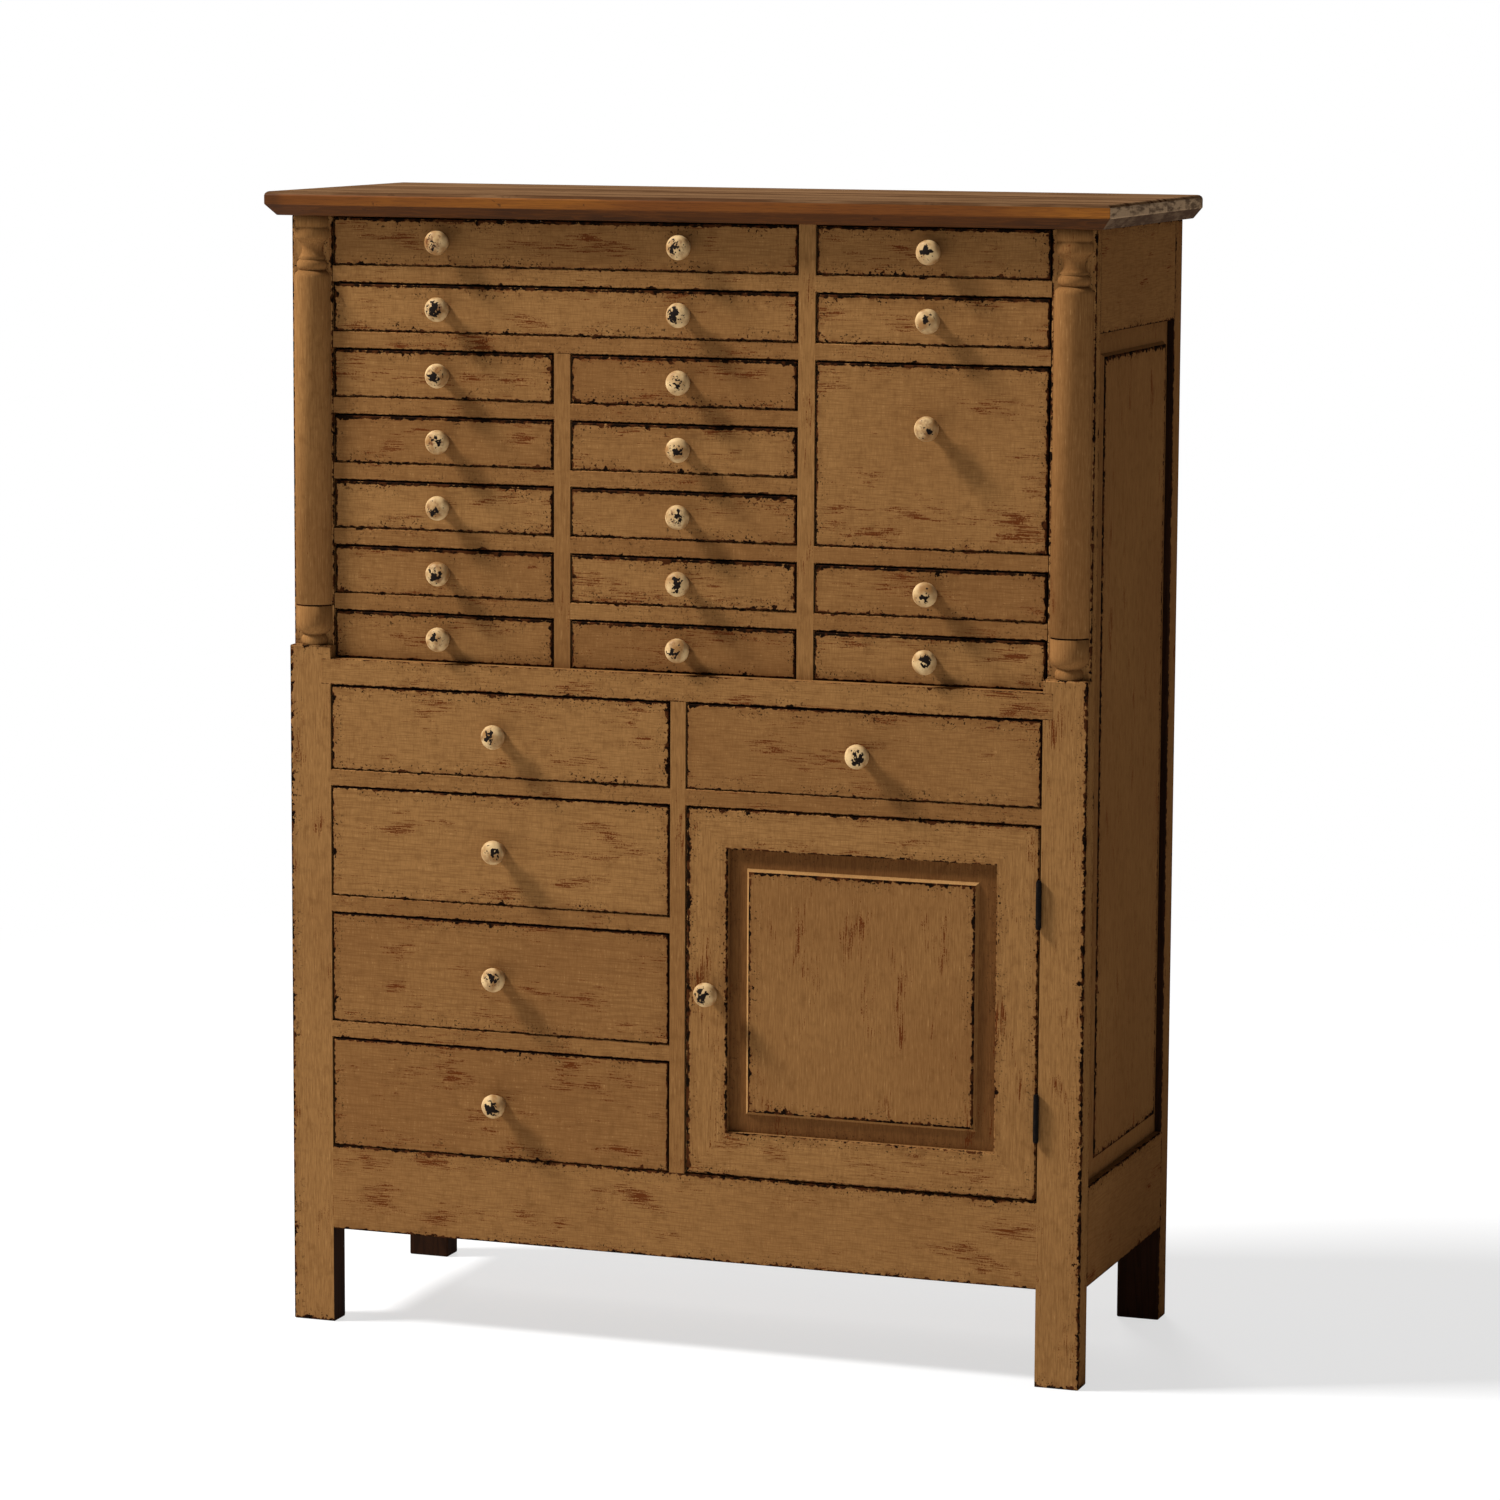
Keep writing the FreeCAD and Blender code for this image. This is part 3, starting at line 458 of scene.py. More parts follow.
def stained_edge():
    """Stained pine: golden along the edge of the top, and darker on the moulding below it, which faces down:
    painted shade, mottled.
    """
    material, shader, place = new_finish("stained_edge", Specular_IOR_Level=0.05)
    spot, _, dark, _ = own_place(place)
    grain = place.mark("board_grain")
    from_end, _, _ = (place - place.mark("board_low")).parts()
    cloud = drawn_out(spot, grain, 5).noise(14, 3, 0.55)
    fibre = drawn_out(spot, grain, 26).noise(800, 3, 0.6)
    rings = drawn_out(spot, grain, 12).noise(60, 3, 0.55)
    late = (rings * 9).fraction().step(0.45, 0.95)
    # Faces marked dark, the ones facing down, lose their gold and darken: painted shade under the top
    underside_shade = dark * (0.60 + cloud.step(0.45, 0.60) * 0.36)
    colour = (cloud.step(0.35, 0.70) * (1 - dark * 0.6)).blend(STAIN, STAIN_GOLD)
    colour = underside_shade.blend(colour, STAIN_DARK)
    colour = ((1 - from_end.step(0.012, 0.032)) * 0.55).blend(colour, STAIN_DARK)
    colour = (late * 0.35).blend(colour, STAIN)
    colour = ((1 - fibre.step(0.30, 0.55)) * 0.40).blend(colour, STAIN_DARK)
    dent = spot.noise(60, 3, 0.6).step(0.68, 0.73)
    colour = (dent * 0.60).blend(colour, STAIN_DARK)
    height = fibre * 0.2 - late * 0.12 - dent * 0.6
    feed(shader, Base_Color=colour, Roughness=0.45 + fibre * 0.12, Normal=height.bump(0.45, 0.0006))
    return material


def worn_top():
    """The upper surface of the top, its stain worn off and greyed in stripes along the planks."""
    material, shader, place = new_finish("worn_top", Specular_IOR_Level=0.0)
    spot, seed, _, _ = own_place(place)
    grain = place.mark("board_grain")
    stripe = drawn_out(spot, grain, 16).noise(75, 4, 0.6)
    fibre = drawn_out(spot, grain, 26).noise(800, 3, 0.6)
    late = (drawn_out(spot, grain, 12).noise(45, 3, 0.55) * 9).fraction().step(0.45, 0.95)
    _, across, _ = (place - place.mark("board_low")).least(place.mark("board_high") - place).parts()
    seam = (1 - across.step(0.001, 0.018)) * drawn_out(spot, grain, 4).noise(20, 2, 0.5).step(0.35, 0.60)
    wear = spot.noise(4, 3, 0.6) * 0.5 + seed * 0.5
    colour = stripe.step(0.38, 0.64).blend(TOP_BROWN, TOP_PALE)
    colour = (wear.step(0.35, 0.60) * 0.65).blend(colour, TOP_PALE)
    colour = (seam * 0.70).blend(colour, TOP_BROWN)
    colour = (late * 0.30).blend(colour, TOP_BROWN)
    colour = ((1 - fibre.step(0.30, 0.55)) * 0.45).blend(colour, STAIN_DARK)
    stains = spot.noise(26, 4, 0.65).step(0.62, 0.70)
    colour = (stains * 0.45).blend(colour, STAIN_DARK)
    height = fibre * 0.25 - late * 0.15
    feed(shader, Base_Color=colour, Roughness=0.66 + fibre * 0.10, Normal=height.bump(0.45, 0.0006))
    return material


def end_grain():
    """The weathered ends of the top's planks, darker on their lower bevel as painted shade."""
    material, shader, place = new_finish("end_grain", Specular_IOR_Level=0.0)
    spot, _, shade, _ = own_place(place)
    along = drawn_out(spot, ACROSS_END, 5)
    blotch = along.noise(45, 4, 0.65) * 0.6 + along.noise(200, 3, 0.6) * 0.4
    pores = spot.noise(900, 3, 0.6)
    colour = (blotch.step(0.46, 0.58) * 0.80).blend(END_GREY, END_DARK)
    # The lower bevel, which faces down, darkened: painted shade
    colour = (shade * (0.78 + blotch.step(0.40, 0.55) * 0.20)).blend(colour, END_DARK)
    colour = ((1 - pores.step(0.30, 0.50)) * 0.45).blend(colour, END_DARK)
    height = pores * 0.3 - blotch * 0.3
    feed(shader, Base_Color=colour, Roughness=0.70 + pores * 0.15, Normal=height.bump(0.5, 0.0006))
    return material


def bare_wood(name, pale, dark, gloss):
    """Unpainted softwood with growth rings and a few knots."""
    material, shader, place = new_finish(name, Specular_IOR_Level=gloss)
    spot, _, _, _ = own_place(place)
    grain = place.mark("board_grain")
    rings = drawn_out(spot, grain, 14).noise(38, 2, 0.5)
    lines = (rings * 11).fraction()
    fibre = drawn_out(spot, grain, 30).noise(1000, 3, 0.6)
    cloud = spot.noise(6, 3, 0.5)
    knots = drawn_out(spot, grain, 2.2).cells(8)
    colour = (0.35 + cloud.step(0.25, 0.70) * 0.65).blend(dark, pale)
    colour = (lines.step(0.35, 0.95) * 0.50).blend(colour, dark)
    colour = ((1 - fibre.step(0.32, 0.52)) * 0.35).blend(colour, dark)
    colour = ((1 - knots.step(0.03, 0.07)) * 0.85).blend(colour, PRIMER)
    height = fibre * 0.3 - lines * 0.1
    feed(shader, Base_Color=colour, Roughness=0.72 + fibre * 0.1, Normal=height.bump(0.4, 0.0005))
    return material


def black_iron():
    """The black iron of the hinges, rubbed brown in places."""
    material, shader, place = new_finish("black_iron", Metallic=0.0, Specular_IOR_Level=0.05)
    rust = place.noise(180, 4, 0.65)
    colour = rust.step(0.48, 0.70).blend(IRON, IRON_WORN)
    feed(shader, Base_Color=colour, Roughness=0.50 + rust * 0.3, Normal=rust.bump(0.4, 0.0003))
    return material


def catch_plastic():
    """The dull plastic of the door catch."""
    material, shader, place = new_finish("catch_plastic", Specular_IOR_Level=0.4)
    speckle = place.noise(1600, 2, 0.5)
    colour = speckle.step(0.35, 0.65).blend(CATCH, IRON_WORN)
    feed(shader, Base_Color=colour, Roughness=0.50 + speckle * 0.15, Normal=speckle.bump(0.2, 0.0002))
    return material


paint = painted_wood("painted_wood", PAINT, PAINT_PALE, PAINT_DEEP, PAINT_FLECK)
side_shade_paint = painted_wood("painted_sides_shade", SIDE_SHADE_PAINT, SIDE_SHADE_PALE, SIDE_SHADE_DEEP, SIDE_SHADE_PALE)
recess_glaze_and_shade = painted_wood("recessed_glaze_and_painted_shade", RECESS_GLAZE_AND_SHADE, RECESS_GLAZE_AND_SHADE_PALE, RECESS_GLAZE_AND_SHADE_DEEP, PAINT)
step_highlight_paint = painted_wood("painted_step_highlight", STEP_HIGHLIGHT_PAINT, STEP_HIGHLIGHT_PALE, PAINT, PAINT_FLECK)
cream = knob_paint()
stain = stained_edge()
worn_stain = worn_top()
pine = bare_wood("pine", PINE, PINE_DARK, WOOD_GLOSS)
dark_pine = bare_wood("dark_pine", BACK_PINE, BACK_DARK, WOOD_GLOSS)
dark_wood_and_shade = bare_wood("dark_wood_and_painted_shade", DARK_WOOD_SHADE_BROWN, DARK_WOOD_SHADE_DARK, DULL_GLOSS)
weathered = end_grain()
iron = black_iron()
plastic = catch_plastic()

# Modelling helpers

AXES = {"X": Vector((1, 0, 0)), "Y": Vector((0, 1, 0)), "Z": Vector((0, 0, 1))}
MARKS = ("board_low", "board_high", "board_grain", "board_traits")
FAR_EDGE = 1.0
SHARP_ANGLE = math.radians(30)
PARALLEL = 0.9
LEANING = 0.5
STEP_TURN = 0.3
TINY = 1e-6


def edges_of(faces):
    return list(dict.fromkeys(edge for face in faces for edge in face.edges))


def verts_of(faces):
    return list(dict.fromkeys(vert for face in faces for vert in face.verts))


def sharp_edges(edges):
    return [edge for edge in edges if edge.is_convex and edge.calc_face_angle() > SHARP_ANGLE]


def runs_along(edge, way):
    run = edge.verts[0].co - edge.verts[1].co
    return abs(run.normalized().dot(way)) > PARALLEL


class Workpiece:
    """A mesh in the making: boards and turned parts collect in one bmesh and become one named piece."""

    def __init__(self):
        self.shape = bmesh.new()
        layers = self.shape.faces.layers.float_vector
        self.marks = [layers.new(mark) for mark in MARKS]
        self.finishes = []

    def mark(self, faces, low, high, grain, finish, chips=1.0, scuffs=1.0, seed=None):
        """Give faces a finish, and the limits, the grain and the traits of their board."""
        traits = Vector((chance.random() if seed is None else seed, chips, scuffs))
        for face in faces:
            for layer, mark in zip(self.marks, (Vector(low), Vector(high), AXES[grain], traits)):
                face[layer] = mark
        self.refinish(faces, finish)

    def faces_since(self, before):
        """The faces made since the faces were noted in a set."""
        return [face for face in self.shape.faces if face not in before]

    def ease(self, edges, width, segments=2):
        """Round edges off, and shade the rounding smoothly."""
        made = bmesh.ops.bevel(self.shape, geom=edges, offset=width, offset_type="OFFSET", affect="EDGES",
                               segments=segments, profile=0.5, material=-1)
        for face in made["faces"]:
            face.smooth = True

    def block(self, low, high):
        """A plain block between two corners, as its vertices."""
        low = Vector(low)
        high = Vector(high)
        place = Matrix.Translation((low + high) / 2) @ Matrix.Diagonal((*(high - low), 1.0))
        return bmesh.ops.create_cube(self.shape, size=1.0, matrix=place)["verts"]

    def board(self, low, high, grain, finish, width=EASE, joined="", chips=1.0, scuffs=1.0, kept=(0, 0, 0)):
        """A board between two corners, eased all round.

        Its faces across the joined axes meet other boards, so they have sharp edges and no wear. Three
        distances say how far the paint is kept, or lost where negative, along its upright edges, its lowest
        edge and its highest edge.
        """
        before = set(self.shape.faces)
        edges = list(dict.fromkeys(e for v in self.block(low, high) for e in v.link_edges))
        low = Vector(low)
        high = Vector(high)
        low -= Vector((kept[0], 0, kept[1]))
        high += Vector((kept[0], 0, kept[2]))
        for axis in joined:
            way = AXES[axis]
            edges = [e for e in edges if runs_along(e, way)]
            low = low - way * FAR_EDGE
            high = high + way * FAR_EDGE
        if edges:
            self.ease(edges, width)
        faces = self.faces_since(before)
        self.mark(faces, low, high, grain, finish, chips, scuffs)
        return faces

    def refinish(self, faces, finish):
        if finish not in self.finishes:
            self.finishes.append(finish)
        for face in faces:
            face.material_index = self.finishes.index(finish)

    def become(self, name, body, slot, *nodes):
        """Make the mesh a piece that rides on a body and stands for CAD nodes."""
        mesh = bpy.data.meshes.new(name)
        self.shape.to_mesh(mesh)
        self.shape.free()
        for finish in self.finishes:
            mesh.materials.append(finish)
        piece = bpy.data.objects.new(name, mesh)
        bpy.context.scene.collection.objects.link(piece)
        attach(piece, body)
        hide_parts(*nodes)
        return piece


def arc_points(start, end, rise, steps):
    """The points of an arc after its start. By rise, it swells to the right of the way to its end."""
    start = Vector(start)
    end = Vector(end)
    if not rise:
        return [end]
    way = end - start
    side = Vector((way.y, -way.x)).normalized()
    radius = way.length_squared / 8 / abs(rise) + abs(rise) / 2
    centre = (start + end) / 2 + side * (rise - math.copysign(radius, rise))
    first = math.atan2(*reversed(start - centre))
    sweep = 2 * math.asin(way.length / 2 / radius) * math.copysign(1, rise)
    angles = [first + sweep * step / steps for step in range(1, steps + 1)]
    return [centre + Vector((math.cos(angle), math.sin(angle))) * radius for angle in angles]


def outline_points(outline, steps):
    """All points of a turned outline of (radius, height, rise) corners."""
    points = [Vector(outline[0][:2])]
    for corner, after in zip(outline, outline[1:]):
        points += arc_points(corner[:2], after[:2], corner[2], steps)
    return points


def turn(work, points, place, turns):
    """Spin an outline about its axis, close it and put it in place. Gives its faces."""
    before = set(work.shape.faces)
    corners = [work.shape.verts.new((radius, 0, height)) for radius, height in points]
    edges = [work.shape.edges.new(pair) for pair in zip(corners, corners[1:])]
    bmesh.ops.spin(work.shape, geom=corners + edges, cent=(0, 0, 0), axis=(0, 0, 1), angle=math.tau,
                   steps=turns, use_merge=True)
    bmesh.ops.remove_doubles(work.shape, verts=verts_of(work.faces_since(before)), dist=TINY)
    faces = work.faces_since(before)
    bmesh.ops.recalc_face_normals(work.shape, faces=faces)
    bmesh.ops.transform(work.shape, matrix=place, verts=verts_of(faces))
    for face in faces:
        face.smooth = True
    return faces


# Drawers

def drawer(node):
    """A drawer: a painted front whose top and side edges are unpainted and near black as painted shade in the
    gaps, and a box of bare wood behind it.
    """
    low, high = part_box(node)
    work = Workpiece()
    back = low.y + FRONT_THICKNESS
    front_low = (low.x, low.y, low.z + FLOOR_GAP - REST_GAP)
    lost = UPPER_LOST if low.z > waist_low else BASE_LOST
    wear = (DRAWER_CHIPS, ROW_SCUFFS if "row" in node else LARGE_SCUFFS)
    faces = work.board(front_low, (high.x, back, high.z), "X", paint, FRONT_ROUND, "", *wear, lost)
    work.refinish([f for f in faces if f.normal.y > PARALLEL], pine)
    # The front's top and side faces near black: painted shade in the gaps around the drawer
    work.refinish([f for f in faces if f.normal.z > PARALLEL or abs(f.normal.x) > PARALLEL], dark_wood_and_shade)
    left = low.x - FRONT_GAP + DRAWER_SIDE_GAP
    right = high.x + FRONT_GAP - DRAWER_SIDE_GAP
    floor_z = low.z + DRAWER_BOTTOM
    top_z = high.z + FRONT_GAP - DRAWER_TOP_GAP
    inner_left = left + DRAWER_BOARD
    inner_right = right - DRAWER_BOARD
    work.board((left, back, low.z), (right, high.y, floor_z), "X", pine)
    work.board((left, back, floor_z), (inner_left, high.y, top_z), "Y", pine)
    work.board((inner_right, back, floor_z), (right, high.y, top_z), "Y", pine)
    work.board((inner_left, high.y - DRAWER_BOARD, floor_z), (inner_right, high.y, top_z), "X", pine)
    name = node.removeprefix("drawer_") + "_drawer"
    work.become(name, node, "painted_wood", node)


def knobs(node, body):
    """The turned knobs of a node, one, or two on a wide drawer."""
    low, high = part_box(node)
    work = Workpiece()
    radius = (high.z - low.z) / 2
    places = {low.x + radius, high.x - radius} if high.x - low.x > 3 * radius else {low.x + radius}
    for x in sorted(places):
        base = Vector((x, high.y, (low.z + high.z) / 2))
        blot = base + Vector((chance.uniform(-1, 1), 0, chance.uniform(-1, 1))) * BLOT_REACH
        blot.y = chance.uniform(*BLOT_SIZES)
        place = Matrix.Translation(base) @ Matrix.Rotation(math.pi / 2, 4, "X")
        faces = turn(work, outline_points(KNOB_OUTLINE, KNOB_ARC_STEPS), place, KNOB_TURNS)
        work.mark(faces, base, blot, "Z", cream, KNOB_DOTS, chance.choice(KNOB_STAINS))
    work.become(node + "_turned", body, "painted_wood", node)


# Case

def front_post(work, side):
    """A front post: full depth up to the shoulder, and set back above it."""
    before = set(work.shape.faces)
    inside = side * inner
    limits = sorted((inside, side * half))
    work.block((limits[0], front, 0), (limits[1], post_back, shoulder))
    for level, across in (((0, upper_front, 0), "Y"), ((0, 0, leg_height), "Z")):
        faces = work.faces_since(before)
        bmesh.ops.bisect_plane(work.shape, geom=verts_of(faces) + edges_of(faces) + faces, dist=TINY,
                               plane_co=level, plane_no=AXES[across])
    faces = work.faces_since(before)
    ledge = [f for f in faces if f.normal.z > PARALLEL and f.calc_center_median().y > upper_front]
    made = bmesh.ops.extrude_face_region(work.shape, geom=ledge)["geom"]
    bmesh.ops.translate(work.shape, verts=[v for v in made if isinstance(v, bmesh.types.BMVert)],
                        vec=(0, 0, case_top - shoulder))
    bmesh.ops.delete(work.shape, geom=[f for f in ledge if f.is_valid], context="FACES_ONLY")
    faces = work.faces_since(before)
    bmesh.ops.recalc_face_normals(work.shape, faces=faces)
    at_rails = [v for v in verts_of(faces) if abs(v.co.x - inside) < TINY and v.co.z < shoulder + TINY]
    sharp = [e for e in sharp_edges(edges_of(faces)) if not all(v in at_rails for v in e.verts)]
    work.ease(sharp, POST_ROUND)
    faces = work.faces_since(before)
    nook = upper_front + TINY
    upper = [f for f in faces if f.calc_center_median().z > shoulder + TINY]
    foot = [f for f in faces if f not in upper and f.calc_center_median().y < nook]
    lower = [f for f in faces if f not in upper and f not in foot]
    far_in = Vector((-side * FAR_EDGE, 0, 0))
    low = Vector((limits[0], front, 0)) + (far_in if side > 0 else Vector())
    high = Vector((limits[1], post_back, shoulder + LEDGE_KEPT)) + (far_in if side < 0 else Vector())
    far_back = Vector((0, FAR_EDGE, 0))
    far_up = Vector((0, 0, FAR_EDGE))
    seed = chance.random()
    work.mark(foot, low, high + far_back, "Z", paint, *FOOT_WEAR, seed)
    work.mark(lower, low, high + far_up, "Z", paint, *POST_WEAR, seed)
    upper_low = Vector((limits[0], upper_front, 0))
    upper_high = Vector((limits[1], post_back, case_top))
    work.mark(upper, upper_low - far_up, upper_high + far_up, "Z", paint, *UPPER_POST_WEAR, seed)
    # The outer side faces take the darker side paint: painted shade
    work.refinish([f for f in faces if f.normal.x * side > PARALLEL], side_shade_paint)
    # The legs' inner faces near black: painted shade under the chest
    inward = [f for f in faces if f.normal.x * side < -PARALLEL]
    work.refinish([f for f in inward if f.calc_center_median().z < leg_height], dark_wood_and_shade)


def corner_posts():
    """The front posts, and plain rear posts whose front and inner faces are unpainted and near black as
    painted shade.
    """
    work = Workpiece()
    for side in (-1, 1):
        front_post(work, side)
        limits = sorted((side * inner, side * half))
        low = (limits[0], rear_post_front, 0)
        faces = work.board(low, (limits[1], rear, case_top), "Z", side_shade_paint, POST_ROUND, "", REAR_POST_CHIPS)
        # The rear posts' front and inner faces near black: painted shade
        hidden = [f for f in faces if f.normal.y < -PARALLEL or f.normal.x * side < -PARALLEL]
        work.refinish(hidden, dark_wood_and_shade)
    work.become("posts", "case", "painted_wood", "corner_posts")


def side_rails():
    panel_low, panel_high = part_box("side_panels")
    low_top = panel_low.z + TONGUE_REACH
    high_floor = panel_high.z - TONGUE_REACH
    work = Workpiece()
    for side in (-1, 1):
        left, right = sorted((side * (half - SIDE_RAIL_THICKNESS), side * half))
        for floor_z, top_z in ((leg_height, low_top), (high_floor, case_top)):
            low = (left, post_back, floor_z)
            work.board(low, (right, rear_post_front, top_z), "Y", side_shade_paint, EASE, "Y", SIDE_RAIL_CHIPS)
    work.become("side_frame_rails", "case", "painted_wood", "side_rails")


def raised_panel(work, width, height, bevel, place, chips, finish, lit_step_finish, slope_shade_finish):
    """A raised panel for an opening, made facing -Y with the frame's face at zero, then put in place."""
    before = set(work.shape.faces)
    slab_x = width / 2 + TONGUE_REACH
    slab_z = height / 2 + TONGUE_REACH
    work.block((-slab_x, TONGUE_DEPTH, -slab_z), (slab_x, TONGUE_DEPTH + TONGUE_THICKNESS, slab_z))
    raised = [f for f in work.faces_since(before) if f.normal.y < -PARALLEL]
    for inset, rise in ((TONGUE_REACH, 0), (bevel - STEP_WIDTH, SLOPE_RISE), (STEP_WIDTH, STEP_RISE)):
        bmesh.ops.inset_region(work.shape, faces=raised, thickness=inset, use_even_offset=True)
        bmesh.ops.translate(work.shape, verts=raised[0].verts[:], vec=(0, -rise, 0))
    work.ease(raised[0].edges[:], STEP_ROUND, 3)
    faces = work.faces_since(before)
    bmesh.ops.recalc_face_normals(work.shape, faces=faces)
    field = [f for f in faces if f.calc_center_median().y < FIELD_RECESS + STEP_RISE / 2]
    around = [f for f in faces if f not in field]
    slope = [f for f in around if f.calc_center_median().y > FIELD_RECESS + STEP_RISE]
    # Step faces that turn right or down keep the plain paint and the rest take the paler one: a painted
    # highlight from the upper left
    unhighlighted_step = [f for f in around if f.normal.x > STEP_TURN or f.normal.z < -STEP_TURN]
    bmesh.ops.transform(work.shape, matrix=place, verts=verts_of(faces))
    field_x = width / 2 - bevel
    field_z = height / 2 - bevel
    corners = [
        place @ Vector((-field_x, FIELD_RECESS, -field_z)),
        place @ Vector((field_x, FIELD_RECESS + FAR_EDGE, field_z)),
    ]
    low = Vector(map(min, *corners))
    high = Vector(map(max, *corners))
    seed = chance.random()
    work.mark(field, low, high, "Z", finish, chips, FIELD_SCUFFS, seed)
    edge = place.to_3x3() @ Vector((bevel, 0, bevel))
    edge = Vector(map(abs, edge))
    work.mark(around, low - edge, high + edge, "Z", lit_step_finish, *PANEL_BORDER_WEAR, seed)
    work.refinish(unhighlighted_step, finish)
    # The sloping recess takes its own darker finish: painted shade
    work.refinish(slope, slope_shade_finish)


def side_panels():
    panel_low, panel_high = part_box("side_panels")
    width = rear_post_front - post_back
    height = panel_high.z - panel_low.z - 2 * TONGUE_REACH
    work = Workpiece()
    for side in (-1, 1):
        middle = Vector((side * half, (post_back + rear_post_front) / 2, (panel_low.z + panel_high.z) / 2))
        place = Matrix.Translation(middle) @ Matrix.Rotation(side * math.pi / 2, 4, "Z")
        finishes = (side_shade_paint, side_shade_paint, side_shade_paint)
        raised_panel(work, width, height, SIDE_BEVEL, place, SIDE_PANEL_CHIPS, *finishes)
    work.become("side_raised_panels", "case", "painted_wood", "side_panels")


def front_rails():
    """The apron, the waist rail, and a rail below each drawer that needs one."""
    work = Workpiece()
    behind = front + RAIL_DEPTH
    work.board((-inner, front, leg_height), (inner, behind, apron_top), "X", paint, EASE, "X", *APRON_WEAR)
    end = inner + WAIST_LAP
    low = Vector((-end, front - WAIST_PROUD, waist_low))
    faces = work.board(low, (end, behind, waist_top), "X", paint)
    far = Vector((FAR_EDGE, 0, 0))
    high = Vector((end, behind, waist_top + BRIDGED))
    work.mark(faces, low - far, high + far, "X", paint, WAIST_CHIPS)
    for node in drawer_nodes:
        if node in WITHOUT_RAIL:
            continue
        left, right, floor_z, _ = opening(node)
        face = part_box(node)[0].y
        low = (left, face, floor_z - RAIL_HEIGHT)
        high = (right, face + RAIL_DEPTH, floor_z)
        work.board(low, high, "X", paint, EASE, "X", *RAIL_WEAR, (0, 0, BRIDGED))
    work.become("rails", "case", "painted_wood", "front_rails")


def inner_walls():
    """The liners behind the posts, and the uprights between the drawers with their painted front edges."""
    work = Workpiece()
    for side in (-1, 1):
        left, right = sorted((side * inner, side * (inner + LINER_THICKNESS)))
        low = (left, post_back, apron_top - BOARD_THICKNESS)
        work.board(low, (right, rear_post_front, case_top), "Z", pine)
    row2_rail = opening("drawer_row2_wide")[2] - RAIL_HEIGHT
    uprights = (
        ("drawer_base_left_1", "drawer_base_right_1", front, apron_top, waist_low),
        ("drawer_row3_left", "drawer_row3_middle", upper_front, waist_top, row2_rail),
        ("drawer_row1_wide", "drawer_row1_right", upper_front, waist_top, case_top),
    )
    for left_node, right_node, face, floor_z, top_z in uprights:
        left = opening(left_node)[1]
        right = opening(right_node)[0]
        work.board((left, face, floor_z), (right, face + PAINTED_DEPTH, top_z), "Z", paint, EASE, "XZ")
        work.board((left, face + PAINTED_DEPTH, floor_z), (right, back_face, top_z), "Z", pine, EASE, "YZ")
    work.become("uprights", "case", "painted_wood", "inner_walls")


def case_boards():
    """The cupboard's floor and ceiling and the board at the waist."""
    work = Workpiece()
    right_x = opening("drawer_base_right_1")[0]
    middle_floor = opening("drawer_base_right_1")[2]
    for left, top_z in ((-inner, apron_top), (right_x, middle_floor), (-inner, waist_top)):
        low = (left, front + RAIL_DEPTH, top_z - BOARD_THICKNESS)
        work.board(low, (inner, back_face, top_z), "X", pine)
    work.become("shelf_boards", "case", "bare_wood", "case_boards")


def drawer_runners():
    work = Workpiece()
    for node in drawer_nodes:
        if node in WITHOUT_RUNNERS:
            continue
        left, right, floor_z, _ = opening(node)
        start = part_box(node)[0].y + RAIL_DEPTH
        for low_x in (left, right - RUNNER_WIDTH):
            low = (low_x, start, floor_z - RUNNER_HEIGHT)
            work.board(low, (low_x + RUNNER_WIDTH, back_face, floor_z), "Y", pine)
    work.become("runners", "case", "bare_wood", "drawer_runners")


def back_boards():
    """The upright planks of the back."""
    work = Workpiece()
    pitch = 2 * inner / BACK_BOARDS
    for number in range(BACK_BOARDS):
        left = -inner + number * pitch
        low = (left, back_face, leg_height)
        work.board(low, (left + pitch, back_rear, case_top), "Z", dark_pine, PLANK_ROUND)
    work.become("back_planks", "case", "bare_wood", "back_boards")


def corner_columns():
    """The turned half columns, each spun whole and cut off at the face of its post."""
    work = Workpiece()
    cap = [(radius, case_top - shoulder + drop, rise) for radius, drop, rise in COLUMN_CAP]
    points = outline_points(COLUMN_FOOT + COLUMN_GROOVE + cap, COLUMN_ARC_STEPS)
    far = Vector((FAR_EDGE, FAR_EDGE, FAR_EDGE))
    for side in (-1, 1):
        before = set(work.shape.faces)
        axis = Vector((side * (inner + half) / 2, front + COLUMN_SETBACK, shoulder))
        faces = turn(work, points, Matrix.Translation(axis), COLUMN_TURNS)
        solid = verts_of(faces) + edges_of(faces) + faces
        cut = bmesh.ops.bisect_plane(work.shape, geom=solid, dist=TINY, clear_outer=True,
                                     plane_co=(0, upper_front, 0), plane_no=AXES["Y"])
        rim = [e for e in cut["geom_cut"] if isinstance(e, bmesh.types.BMEdge)]
        bmesh.ops.contextual_create(work.shape, geom=rim)
        faces = work.faces_since(before)
        bmesh.ops.recalc_face_normals(work.shape, faces=faces)
        work.mark(faces, axis - far, axis + far, "Z", paint, *COLUMN_WEAR)
        groove = [f for f in faces if GROOVE_LOW < f.calc_center_median().z - shoulder < GROOVE_HIGH]
        work.mark(groove, axis, axis, "Z", paint)
    work.become("turned_columns", "case", "painted_wood", "corner_columns")


def cut_all(shape, place, way):
    """Split every face that a plane crosses."""
    bmesh.ops.bisect_plane(shape, geom=shape.verts[:] + shape.edges[:] + shape.faces[:], dist=TINY / 10,
                           plane_co=place, plane_no=way)


